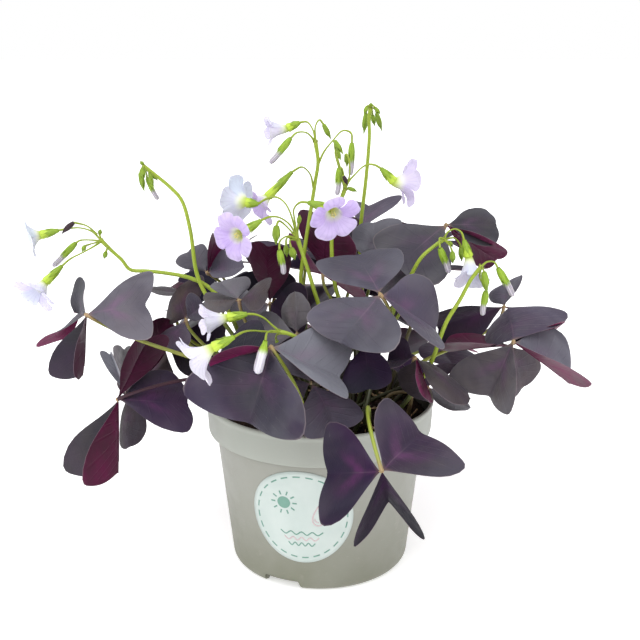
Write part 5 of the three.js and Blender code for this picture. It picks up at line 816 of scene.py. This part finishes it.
def ball(pc, c, r, mat, tint, nu=10, nv=7, squash=None, axis=None, u=(0.95, 1.0)):
    th = np.linspace(0.001, math.pi - 0.001, nv)
    ph = np.arange(nu) * 2 * math.pi / nu
    G = np.stack([np.outer(np.sin(th), np.cos(ph)), np.outer(np.sin(th), np.sin(ph)), np.outer(np.cos(th), np.ones(nu))], -1)
    if squash is not None:
        G = G * np.array(squash)
    if axis is not None:
        z = unit(axis)
        x = unit(np.cross(z, [0.3, 0.2, 0.93]))
        G = G @ np.array([x, np.cross(z, x), z])
    uv = np.stack([np.repeat(np.linspace(u[0], u[1], nv), nu), np.tile(np.arange(nu) / nu, nv)], 1)
    pc.grid(np.asarray(c) + G * r, mat, uv, tint, flip=True, wrap=True)


# ------------------------------------------------------------------ stalks, buds and cups
def frame_of(d):
    d = unit(d)
    x = unit(np.cross(d, [0.3, 0.2, 0.93]))
    return d, x, np.cross(d, x)


def sepals(pc, a, d, L, rad, reach, mat, tint, n=5, turn=0.0, flare=0.0):
    """Five pointed sepals that hug the body of revolution with radius rad(v) about the axis."""
    d, x, y = frame_of(d)
    rows, cols = 9, 5
    for s in range(n):
        a0 = turn + s * 2 * math.pi / n
        v = np.linspace(0, 1, rows)
        hw = 0.68 * (np.sin(math.pi * np.clip(v * 0.62 + 0.30, 0, 1)) ** 0.8) * (1 - v ** 4)
        G = np.zeros((rows, cols, 3))
        Nn = np.zeros_like(G)
        off = 0.10 + (0.05 if s % 2 else 0.0)
        for i in range(rows):
            for j in range(cols):
                w = (j / (cols - 1) * 2 - 1)
                ang = a0 + w * hw[i]
                rr = rad(v[i] * reach) + off + flare * v[i] ** 3
                out = x * math.cos(ang) + y * math.sin(ang)
                G[i, j] = a + d * (v[i] * reach * L) + out * rr
                Nn[i, j] = out
        uv = np.stack([np.repeat(v, cols), np.tile(np.linspace(0, 1, cols) * 0.2 + 0.2 * s, rows)], 1)
        pc.shell(G, Nn, np.full((rows, cols), 0.16) * (1 - 0.6 * v ** 3)[:, None], (mat, mat, mat), uv, tint)


def bud(pc, a, b, r, tip, dark, rng):
    a, b = np.asarray(a, float), np.asarray(b, float)
    d = b - a
    L = np.linalg.norm(d)
    v = np.linspace(0, 1, 15)
    bend = unit(np.cross(d, rng.normal(size=3))) * L * 0.03
    P = a + d * v[:, None] + bend * np.sin(math.pi * v)[:, None]
    if tip == 0:
        prof = lambda t: r * (0.34 + 0.66 * math.sin(math.pi * min(1, 0.12 + t * 0.84)) ** 0.9) * (1 - max(0, t - 0.50) ** 1.3 * 1.9)
        rad = np.array([max(0.05, prof(t)) for t in v])
        rad[-1] = 0.05
        pc.tube(P, rad, 12, 1, (0, dark if dark else rng.uniform(0.10, 0.32), 0, 1), 0, 1, lobes=0.05)
        if not dark:
            sepals(pc, a, d, L, prof, 0.80, 1, (0, 0.16, 0, 1), turn=rng.uniform(0, 1))
    else:
        green = 0.56 if tip == 1 else 0.30

        def prof(t):
            if tip == 2:
                return r * (0.40 + 0.62 * smooth(t, 0.0, 0.42) + 0.06 * math.sin(math.pi * t))
            body = 0.45 + 0.55 * math.sin(math.pi * min(0.5, t * 1.6 + 0.06))
            return r * (0.92 * body * (1 - smooth(t, 0.45, 0.62)) + 0.84 * smooth(t, 0.45, 0.62))
        rad = np.array([max(0.05, prof(t)) for t in v])
        rad[-2] *= 0.94
        rad[-1] *= 0.55
        tint = np.zeros((15 * 12, 4))
        tint[:, 3] = 1
        pale = smooth(v, green - 0.08, green + 0.10)
        tint[:, 0] = np.repeat(pale, 12)
        tint[:, 2] = 1.0 if tip == 2 else 0.0
        # twisted closed petals: a fluted body
        n = 15
        T = np.gradient(P, axis=0)
        T /= np.linalg.norm(T, axis=1)[:, None]
        x = unit(np.cross(T[0], [0.3, 0.2, 0.93]))
        rings = []
        for k in range(n):
            xx = unit(x - T[k] * (x @ T[k]))
            yy = np.cross(T[k], xx)
            ang = np.arange(12) * 2 * math.pi / 12
            rr = rad[k] * (1 + 0.07 * np.cos(5 * (ang + 1.6 * v[k])))
            rings.append(P[k] + (np.cos(ang) * rr)[:, None] * xx + (np.sin(ang) * rr)[:, None] * yy)
        uv = np.stack([np.repeat(v, 12), np.tile(np.arange(12) / 12, n)], 1)
        pc.grid(np.array(rings), 1, uv, tint, wrap=True)
        c = np.vstack([rings[-1], P[-1] + unit(d) * 0.15])
        i = np.arange(12)
        pc.add3(c, np.stack([i, (i + 1) % 12, np.full(12, 12)], 1), 1, np.tile([1, 0.5], (13, 1)), (1, 0, 0, 1))
        sepals(pc, a, d, L, prof, green + 0.06, 1, (0, 0, 0.35 if tip == 2 else 0, 1), turn=rng.uniform(0, 1))


def cup(pc, a, b, rng):
    """The green cup under an open flower: it widens to the mouth, and its sepals stand a little off the tube."""
    a, b = np.asarray(a, float), np.asarray(b, float)
    d = b - a
    L = np.linalg.norm(d)
    v = np.linspace(0, 1, 10)
    prof = lambda t: 0.75 + 0.95 * smooth(t, 0.0, 0.45) + 0.72 * smooth(t, 0.45, 1.0)
    pc.tube(a + d * v[:, None], [prof(t) for t in v], 14, 1, (0, 0, 0.90, 1), 0.1, 1.0, lobes=0.05)
    sepals(pc, a, d, L, lambda t: prof(t) + 0.10, 0.76, 1, (0, 0.07, 0.0, 1), turn=rng.uniform(0, 1), flare=0.30)


def stalk(i, name, scape, peds, buds, cups):
    rng = np.random.default_rng(300 + i)
    pc = Piece(name)
    S = np.asarray(scape, float)
    d0 = unit(S[0] - S[1])
    full = catmull(np.vstack([S[0] + d0 * 2.6, S]), 70)
    t = np.linspace(0, 1, len(full))
    rad = 1.30 - 0.40 * t
    rad[-4:] += np.array([0.05, 0.12, 0.2, 0.24])
    pc.tube(full, rad, 12, 0, (0.05, 0, 0.45, 1), 0.0, 1.0)
    ball(pc, S[-1], 1.12, 0, (0.0, 0.0, 0.4, 1))
    # small pointed bracts where the pedicels part
    d, x, y = frame_of(full[-1] - full[-4])
    for k in range(5):
        a = k * 1.2566 + rng.uniform(0, 0.5)
        o = x * math.cos(a) + y * math.sin(a)
        p0 = S[-1] + o * 0.8 - d * 0.3
        pc.tube(np.array([p0, p0 + o * 0.5 + d * 0.6, p0 + o * 0.7 + d * 1.5]), [0.34, 0.26, 0.04], 6, 0,
                (0.5, 0.3, 0.1, 1), 0.5, 0.6)
    for p in peds:
        q = catmull(p, max(6, int(3 + 2 * len(p) * 2)))
        tt = np.linspace(0, 1, len(q))
        r = 0.50 + 0.10 * np.cos(2 * math.pi * tt)
        pc.tube(q, r, 8, 0, (0.12, 0.0, 0.35, 1), 0.2, 0.85)
    for a, b, r, tip, dark in buds:
        bud(pc, a, b, r, tip, dark, rng)
    for a, b in cups:
        cup(pc, a, b, rng)
    pc.make(STALK_MATS, name)


# ------------------------------------------------------------------ flowers
def cup_direction(base):
    """The direction of the green cup whose mouth is at base."""
    best = min(((np.linalg.norm(np.subtract(b, base)), a, b) for st in STALKS for a, b in st[4]), key=lambda q: q[0])
    return unit(np.subtract(best[2], best[1]))


# look of single flowers: lilac amount, amount of pale blue painted shade
LOOKS = {
    "flower_01": (0.10, 0.60),
    "flower_02": (0.30, 0.60),
    "flower_03": (0.28, 0.28),
    "flower_06": (0.30, 0.70),
    "flower_04": (0.80, 0.10),
    "flower_05": (0.85, 0.05),
    "flower_07": (0.85, 0.05),
    "flower_08": (0.75, 0.15),
    "flower_09": (0.18, 0.50),
    "flower_10": (0.10, 0.20),
    "flower_11": (0.08, 0.25),
}


def flower(i, name, base, axis, R, tube, open_, white, turn):
    rng = np.random.default_rng(500 + i)
    pc = Piece(name)
    ax = unit(axis)
    x = unit(np.cross(ax, [0.3, 0.2, 0.93]))
    y = np.cross(ax, x)
    base = np.asarray(base, float)
    dc = cup_direction(base)
    bend = tube + 1.5

    def centre(z):
        """Points and directions of the middle line: out of the cup, then round to the flower's own axis."""
        z = np.asarray(z, float)
        q = np.clip(z / bend, 0, 1)
        C = base + dc * np.minimum(z, 0)[..., None] + ax * np.maximum(z, 0)[..., None] \
            + (dc - ax) * (bend * q * (1 - q) ** 2)[..., None]
        T = ax + (dc - ax) * ((1 - q) * (1 - 2.4 * q))[..., None]
        return C, T / np.linalg.norm(T, axis=-1, keepdims=True)

    zend = 0.6 + tube + (R - 1) / math.tan(math.radians(open_))
    bell = open_ < 50
    ctrl = np.array([(1.45, -1.6), (2.0, tube * 0.60), (R * 0.34 + 1.2, 0.5 + tube + (zend - tube) * (0.50 if bell else 0.86)), (R, zend)])
    rows, cols = 22, 13
    tt = np.linspace(0, 1, 60)[:, None]
    prof = (1 - tt) ** 3 * ctrl[0] + 3 * tt * (1 - tt) ** 2 * ctrl[1] + 3 * tt * tt * (1 - tt) * ctrl[2] + tt ** 3 * ctrl[3]
    arc = np.r_[0, np.cumsum(np.linalg.norm(np.diff(prof, axis=0), axis=1))]
    total = arc[-1]
    v = np.linspace(0, 1, rows)
    w = np.linspace(-1, 1, cols)
    lilac, blue_shade = LOOKS.get(name, (rng.uniform(0.06, 0.22) if white else rng.uniform(0.75, 0.95), 0.5 if white else 0.1))
    for k in range(5):
        a0 = math.radians(turn + k * 72)
        S = np.zeros((rows, cols, 3))
        lean = rng.normal(0, 0.5)
        curl = rng.uniform(0.3, 1.6) + (0.8 if bell else 0)
        ph = rng.uniform(0, 6.28)
        skew = rng.normal(0, 0.10)
        wide = rng.uniform(0.96, 1.05)
        for jj, ww in enumerate(w):
            # a wedge-shaped blade with a broad, nearly straight end and a faint notch
            scale = 1 - 0.075 * abs(ww) ** 3.5 - 0.018 * math.exp(-((ww - skew) / 0.25) ** 2) + 0.03 * skew * ww * 5
            s = v * scale * total
            r = np.interp(s, arc, prof[:, 0])
            z = np.interp(s, arc, prof[:, 1])
            hwid = np.radians(np.interp(v, [0, 0.35, 0.62, 0.80, 0.92, 1.0], [37.5, 37.5, 37, 36, 33.5, 28]) * wide)
            ang = a0 + ww * hwid
            z = z + 0.30 * ww * smooth(v, 0.1, 0.7) - 0.75 * ww ** 2 * smooth(v, 0.45, 1.0) * (1 if not bell else 0.3)
            z = z - curl * smooth(v, 0.70, 1.0) ** 1.5 + 0.30 * np.sin(3.1 * ww + ph) * smooth(v, 0.6, 1.0)
            z = z + lean * smooth(v, 0.3, 1.0)
            C, T = centre(z)
            X = x - T * (T @ x)[:, None]
            X /= np.linalg.norm(X, axis=1, keepdims=True)
            Y = np.cross(T, X)
            S[:, jj] = C + (np.cos(ang) * r)[:, None] * X + (np.sin(ang) * r)[:, None] * Y
        du, dv = np.gradient(S, axis=0), np.gradient(S, axis=1)
        Nn = np.cross(du, dv)
        Nn /= np.maximum(np.linalg.norm(Nn, axis=2, keepdims=True), 1e-9)
        # the inside of the flower is the upper side
        if np.sum(Nn[rows // 2:, cols // 2] @ ax) < 0:
            Nn = -Nn
        uv = np.stack([np.repeat(v, cols), np.tile((w + 1) / 2, rows)], 1)
        tint = (float(np.clip(lilac * rng.uniform(0.8, 1.1), 0, 1)), 0.0, float(np.clip(blue_shade * rng.uniform(0.4, 1.5), 0, 1)), 1.0)
        pc.shell(S, Nn, np.full((rows, cols), 0.20) * (1 - 0.5 * v ** 4)[:, None], (0, 1, 0), uv, tint)
    for k in range(5):
        a = math.radians(turn + 36 + k * 72)
        zz = np.array([-0.6, tube * 0.5, tube + 0.6])
        C, T = centre(zz)
        o = x * math.cos(a) + y * math.sin(a)
        pts = C + np.outer([0.4, 0.7, 1.0], o)
        pc.tube(pts, [0.12, 0.12, 0.10], 5, 2, (0, 0, 0, 1))
        ball(pc, pts[-1], 0.42, 2, (0, 0, 0, 1), 8, 6, (1, 1, 1.5), ax)
    pc.make(PETAL_MATS, name)


# ------------------------------------------------------------------ pot
POT_H, RIM_R, BAND_R, BAND_Z, SHOULDER_R, FOOT_R = 90.2, 60.0, 58.9, 73.6, 55.0, 46.9
NOTCHES = (-115.0, 5.0, 125.0)


def body_r(z):
    return FOOT_R + (SHOULDER_R - FOOT_R) * (z / BAND_Z)


def pot():
    pc = Piece("pot_body")
    ang = np.radians(np.linspace(0, 360, 240, endpoint=False))
    for c in NOTCHES:
        extra = np.radians(np.array([c - 14.2, c - 13.2, c - 12.4, c - 11.6, c - 11.0, c + 11.0, c + 11.6, c + 12.4, c + 13.2, c + 14.2]))
        ang = np.concatenate([ang, extra % (2 * math.pi)])
    ang = np.unique(np.round(ang, 5))
    lift = np.zeros_like(ang)
    for c in NOTCHES:
        d = np.abs((np.degrees(ang) - c + 180) % 360 - 180)
        lift = np.maximum(lift, 5.0 * (1 - smooth(d, 11.0, 13.6)))
    prof, ring = [], []

    def add(r, z, foot=False):
        prof.append((r, z))
        ring.append(foot)
    # underside from the middle outwards, then up the outside and down the inside
    add(0.01, 0.0); add(15, 0.0); add(29.6, 0.0); add(30.0, 0.12); add(30.5, 0.5); add(30.7, 4.2); add(31.0, 4.6)
    add(36, 4.6); add(42.0, 4.6); add(42.4, 4.4, True); add(42.6, 0.5, True); add(42.9, 0.0, True); add(43.3, -0.0, True)
    c = 4.0
    for k in range(7):
        a = math.radians(-90 + 90 * k / 6)
        add(FOOT_R - c + c * math.cos(a) + (body_r(c) - FOOT_R) * (k / 6), c + c * math.sin(a), True)
    for z in (7, 12, 20, 30, 40, 50, 60, 68, 72.2):
        add(body_r(z), z)
    add(SHOULDER_R + 0.02, 73.0); add(SHOULDER_R + 0.4, 73.5); add(SHOULDER_R + 1.4, 73.62); add(BAND_R - 0.7, 73.62)
    add(BAND_R - 0.15, 73.8); add(BAND_R, 74.4)
    for z in (78, 83, 86.5):
        add(BAND_R + (RIM_R - 0.45 - BAND_R) * (z - 74) / 14, z)
    add(RIM_R - 0.42, 87.6); add(RIM_R - 0.12, 88.2); add(RIM_R, 89.0); add(RIM_R - 0.12, 89.75); add(RIM_R - 0.5, 90.12)
    add(RIM_R - 1.0, 90.2); add(RIM_R - 1.45, 90.05); add(RIM_R - 1.75, 89.6); add(RIM_R - 1.9, 88.6)
    add(BAND_R - 1.2, 78.5); add(BAND_R - 1.5, 76.6); add(SHOULDER_R - 0.8, 73.2); add(SHOULDER_R - 1.35, 72.2)
    add(body_r(40) - 1.3, 40); add(body_r(9) - 1.3, 9.0); add(body_r(6) - 3.4, 6.3); add(20, 6.2); add(0.01, 6.2)
    prof = np.array(prof)
    G = np.zeros((len(prof), len(ang), 3))
    for i, (r, z) in enumerate(prof):
        zz = np.maximum(z, lift) if ring[i] else np.full_like(ang, z)
        rr = np.full_like(ang, r)
        if ring[i] and z < 3.0:
            # inside a notch the wall keeps its line where the rounded edge is cut away
            rr = np.where(lift > 0.05, np.where(r > 44.5, np.maximum(r, body_r(zz) - 4 + np.sqrt(np.maximum(0, 16 - (4 - np.minimum(4, zz)) ** 2))), r), r)
            if i < len(prof) and r <= 43.4:
                rr = np.full_like(ang, r)
        G[i] = np.stack([rr * np.cos(ang), rr * np.sin(ang), zz], 1)
    uv = np.stack([np.repeat(np.linspace(0, 1, len(prof)), len(ang)), np.tile(ang / (2 * math.pi), len(prof))], 1)
    pc.grid(G, 0, uv, wrap=True)
    ob = pc.make([mat_pot()], "pot")
    return ob


# ------------------------------------------------------------------ label
LABEL_R, LABEL_Z, LABEL_AT = 26.2, 43.5, -100.4


def on_label(px, pz, off):
    """A point of the label's flat drawing (x right, z up, mm from its centre) on the pot wall."""
    px, pz = np.asarray(px, float), np.asarray(pz, float)
    tilt = (SHOULDER_R - FOOT_R) / BAND_Z
    z = LABEL_Z + pz / math.sqrt(1 + tilt * tilt)
    r = body_r(z)
    a = math.radians(LABEL_AT) + px / body_r(LABEL_Z)
    n = unit([1, -tilt])
    rr = r + off * n[0]
    return np.stack([rr * np.cos(a), rr * np.sin(a), z + off * n[1]], -1)


def label():
    pc = Piece("label_sticker")
    n, m = 96, 12
    a = np.arange(n) * 2 * math.pi / n
    rr = np.linspace(0.0005, 1, m + 1)
    top = np.array([on_label(LABEL_R * q * np.cos(a), LABEL_R * q * np.sin(a), 0.34) for q in rr])
    edge = on_label(LABEL_R * 1.002 * np.cos(a), LABEL_R * 1.002 * np.sin(a), 0.08)
    low = np.array([on_label(LABEL_R * q * np.cos(a), LABEL_R * q * np.sin(a), 0.05) for q in rr[::-1]])
    uv = np.zeros((len(a) * (m + 1), 2))
    G = np.concatenate([top, edge[None], low])
    pc.grid(G, 0, np.zeros((G.shape[0] * n, 2)), flip=False, wrap=True)

    def plate(pts, mat, off=0.40):
        """A thin inked shape, filled as a fan about its centre."""
        pts = np.asarray(pts, float)
        c = pts.mean(0)
        ringp = on_label(pts[:, 0], pts[:, 1], off)
        k = len(pts)
        V = np.vstack([ringp, on_label([c[0]], [c[1]], off), on_label(pts[:, 0], pts[:, 1], 0.30)])
        i = np.arange(k)
        F = np.stack([i, (i + 1) % k, np.full(k, k)], 1)
        area = np.sum(pts[:, 0] * np.roll(pts[:, 1], -1) - np.roll(pts[:, 0], -1) * pts[:, 1])
        pc.add3(V, F if area > 0 else F[:, ::-1], mat)
        F2 = np.stack([i, (i + 1) % k, (i + 1) % k + k + 1, i + k + 1], 1)
        pc.add(V, F2[:, ::-1] if area > 0 else F2, mat)

    def stroke(pts, width, mat, closed=False, off=0.40):
        pts = np.asarray(pts, float)
        if not closed:
            pts = catmull(np.hstack([pts, np.zeros((len(pts), 1))]), 40)[:, :2] if len(pts) > 2 else resample(pts, 12)
        t = (np.roll(pts, -1, 0) - np.roll(pts, 1, 0)) if closed else np.gradient(pts, axis=0)
        t /= np.linalg.norm(t, axis=1)[:, None]
        nn = np.stack([-t[:, 1], t[:, 0]], 1) * width / 2
        A, B = pts + nn, pts - nn
        G = np.stack([on_label(A[:, 0], A[:, 1], 0.31), on_label(A[:, 0], A[:, 1], off), on_label(B[:, 0], B[:, 1], off),
                      on_label(B[:, 0], B[:, 1], 0.31)], 1)
        if closed:
            G = np.concatenate([G, G[:1]])
        pc.grid(G, mat, np.zeros((G.shape[0] * 4, 2)), flip=True)

    def circle(cx, cz, r, k=48, a0=0, a1=2 * math.pi):
        a = np.linspace(a0, a1, k, endpoint=abs(a1 - a0) < 6.28)
        return np.stack([cx + r * np.cos(a), cz + r * np.sin(a)], 1)
    # a ring of short dashes inside the rim
    for k in range(24):
        a0 = 2 * math.pi * k / 24
        stroke(circle(0, 0, 23.2, 8, a0, a0 + 0.15), 0.7, 1)
    # sun: a disc with rays, upper left
    cx, cz = -8.5, 8.0
    plate(circle(cx, cz, 3.3), 1)
    for k in range(10):
        a0 = 2 * math.pi * k / 10
        p = np.array([[cx + q * math.cos(a0), cz + q * math.sin(a0)] for q in (4.4, 6.6)])
        stroke(p, 0.75, 1)
    # drop, right of the middle
    t = np.linspace(0, 2 * math.pi, 40, endpoint=False)
    dx, dz = 8.6, 1.5
    drop = np.stack([dx + 3.9 * np.sin(t) * np.sin(t / 2) ** 1.3, dz + 5.6 * np.cos(t)], 1)
    stroke(drop, 0.7, 2, closed=True)
    stroke([(dx - 1.9, dz - 1.6), (dx - 1.2, dz - 3.2), (dx + 0.2, dz - 3.9)], 0.6, 2)
    # three soft waves below
    for k, zz in enumerate((-9.0, -12.2, -15.4)):
        xs = np.linspace(-11 + 2 * k, 11 - 2 * k, 9)
        stroke(np.stack([xs, zz + 0.9 * np.cos(np.arange(9) * math.pi)], 1), 0.65, 2 if k % 2 else 1)
    mats = [mat_label("label_film", (0.46, 0.53, 0.50), (0.52, 0.58, 0.55)),
            mat_label("label_sage", (0.12, 0.27, 0.21), (0.16, 0.31, 0.25)),
            mat_label("label_rose", (0.50, 0.38, 0.40), (0.56, 0.44, 0.45))]
    pc.make(mats, "label")


# ------------------------------------------------------------------ soil
SOIL_Z = 80.0


def hash2(x, y, s):
    v = np.sin(x * 12.9898 + y * 78.233 + s * 37.719) * 43758.5453
    return v - np.floor(v)


def vnoise(x, y, s):
    xi, yi = np.floor(x), np.floor(y)
    fx, fy = x - xi, y - yi
    fx, fy = fx * fx * (3 - 2 * fx), fy * fy * (3 - 2 * fy)
    a, b = hash2(xi, yi, s), hash2(xi + 1, yi, s)
    c, d = hash2(xi, yi + 1, s), hash2(xi + 1, yi + 1, s)
    return (a * (1 - fx) + b * fx) * (1 - fy) + (c * (1 - fx) + d * fx) * fy


def soil():
    pc = Piece("soil_bed")
    rng = np.random.default_rng(11)
    nr, na = 58, 200
    r = np.linspace(0.3, 56.9, nr)
    a = np.arange(na) * 2 * math.pi / na
    Rr, A = np.meshgrid(r, a, indexing="ij")
    X, Y = Rr * np.cos(A), Rr * np.sin(A)
    Z = SOIL_Z - 0.2 + 1.6 * (vnoise(X / 9, Y / 9, 1) - 0.5) + 1.2 * (vnoise(X / 3.4, Y / 3.4, 2) - 0.5) \
        + 0.9 * (vnoise(X / 1.5, Y / 1.5, 3) - 0.5)
    Z = Z - 1.2 * smooth(Rr, 52, 57)
    top = np.stack([X, Y, Z], -1)
    side = []
    for rr, zz in ((56.9, 76.6), (53.3, 72.2), (46.0, 9.1), (43.3, 6.55), (0.3, 6.5)):
        side.append(np.stack([rr * np.cos(a), rr * np.sin(a), np.full_like(a, zz)], -1))
    G = np.concatenate([top, np.array(side)])
    pc.grid(G, 0, np.zeros((G.shape[0] * na, 2)), wrap=True, flip=True)
    c = np.vstack([G[0], [0, 0, SOIL_Z]])
    i = np.arange(na)
    pc.add3(c, np.stack([i, (i + 1) % na, np.full(na, na)], 1), 0)
    # crumbs of peat and bark
    for k in range(420):
        rad = 55 * math.sqrt(rng.random())
        an = rng.uniform(0, 2 * math.pi)
        s = rng.uniform(0.5, 1.7) * (1.5 if rng.random() < 0.1 else 1)
        th = np.linspace(0.01, math.pi - 0.01, 5)
        ph = np.arange(7) * 2 * math.pi / 7
        g = np.stack([np.outer(np.sin(th), np.cos(ph)), np.outer(np.sin(th), np.sin(ph)), np.outer(np.cos(th), np.ones(7))], -1)
        g = g * (1 + 0.35 * rng.normal(size=g.shape[:2]))[..., None] * np.array([s, s * rng.uniform(0.5, 1), s * rng.uniform(0.4, 0.8)])
        t = rng.uniform(0, 6.28)
        g = g @ np.array([[math.cos(t), math.sin(t), 0], [-math.sin(t), math.cos(t), 0], [0, 0, 1]])
        pc.grid(g + np.array([rad * math.cos(an), rad * math.sin(an), SOIL_Z + 0.1 + rng.uniform(-0.4, 0.5)]), 0,
                np.zeros((35, 2)), flip=True, wrap=True)
    # old dry stems lying on the peat
    for k in range(46):
        rad = 50 * math.sqrt(rng.random())
        an, d = rng.uniform(0, 6.28), rng.uniform(0, 6.28)
        L = rng.uniform(6, 19)
        c0 = np.array([rad * math.cos(an), rad * math.sin(an)])
        u = np.array([math.cos(d), math.sin(d)])
        pts = []
        for q in np.linspace(-0.5, 0.5, 6):
            xy = c0 + u * q * L + np.array([-u[1], u[0]]) * 2.0 * q * q * rng.uniform(-1, 1)
            if np.hypot(*xy) > 55:
                xy *= 55 / np.hypot(*xy)
            pts.append([xy[0], xy[1], SOIL_Z + 0.8 + rng.uniform(-0.3, 0.9)])
        pc.tube(catmull(pts, 14), np.linspace(0.75, 0.40, 15) * rng.uniform(0.6, 1.1), 7, 1)
    pc.make([mat_soil(), mat_dead()], "soil")


# ------------------------------------------------------------------ build everything
for i, (name, stem, leaflets) in enumerate(LEAVES):
    leaf(i, name, stem, leaflets)
for i, (name, scape, peds, buds, cups) in enumerate(STALKS):
    stalk(i, name, scape, peds, buds, cups)
for i, (name, base, axis, R, tube, open_, white, turn) in enumerate(FLOWERS):
    flower(i, name, base, axis, R, tube, open_, white, turn)
pot()
label()
soil()

# ------------------------------------------------------------------ studio
floor_me = bpy.data.meshes.new("floor")
F_ = 6.0
floor_me.from_pydata([(-F_, -F_, 0), (F_, -F_, 0), (F_, F_, 0), (-F_, F_, 0)], [], [(0, 1, 2, 3)])
floor = bpy.data.objects.new("floor", floor_me)
bpy.context.scene.collection.objects.link(floor)
floor_me.materials.append(mat_floor())

world = bpy.data.worlds.new("studio")
bpy.context.scene.world = world
world.use_nodes = True
wt = world.node_tree
wt.nodes["Background"].inputs[0].default_value = (0.97, 0.985, 1.0, 1.0)
wt.nodes["Background"].inputs[1].default_value = 0.76
sky = wt.nodes.new("ShaderNodeBackground")
sky.inputs[0].default_value = (1.0, 1.0, 1.0, 1.0)
sky.inputs[1].default_value = 1.0
seen, pick = wt.nodes.new("ShaderNodeLightPath"), wt.nodes.new("ShaderNodeMixShader")
wt.links.new(seen.outputs["Is Camera Ray"], pick.inputs[0])
wt.links.new(wt.nodes["Background"].outputs[0], pick.inputs[1])
wt.links.new(sky.outputs[0], pick.inputs[2])
wt.links.new(pick.outputs[0], wt.nodes["World Output"].inputs[0])


def soft_sun(name, toward, strength, angle):
    """A large far light shining along the given direction."""
    li = bpy.data.lights.new(name, "SUN")
    li.energy = strength
    li.angle = math.radians(angle)
    ob = bpy.data.objects.new(name, li)
    bpy.context.scene.collection.objects.link(ob)
    ob.rotation_euler = Vector(unit(toward)).to_track_quat("-Z", "Y").to_euler()
    ob.location = -0.8 * unit(toward)
    return ob


soft_sun("key", (0.38, 0.50, -1.0), 1.85, 58)
soft_sun("fill", (-0.6, 0.55, -0.8), 0.45, 60)

cam = bpy.data.cameras.new("camera")
cam.sensor_width = 36.0
cam.lens = 59.38
cam_ob = bpy.data.objects.new("camera", cam)
bpy.context.scene.collection.objects.link(cam_ob)
cam_ob.location = (0.0, -0.52524, 0.28425)
cam_ob.rotation_euler = (math.radians(90 - 16.30), 0.0, 0.0)
bpy.context.scene.camera = cam_ob
bpy.context.scene.view_settings.view_transform = "Standard"
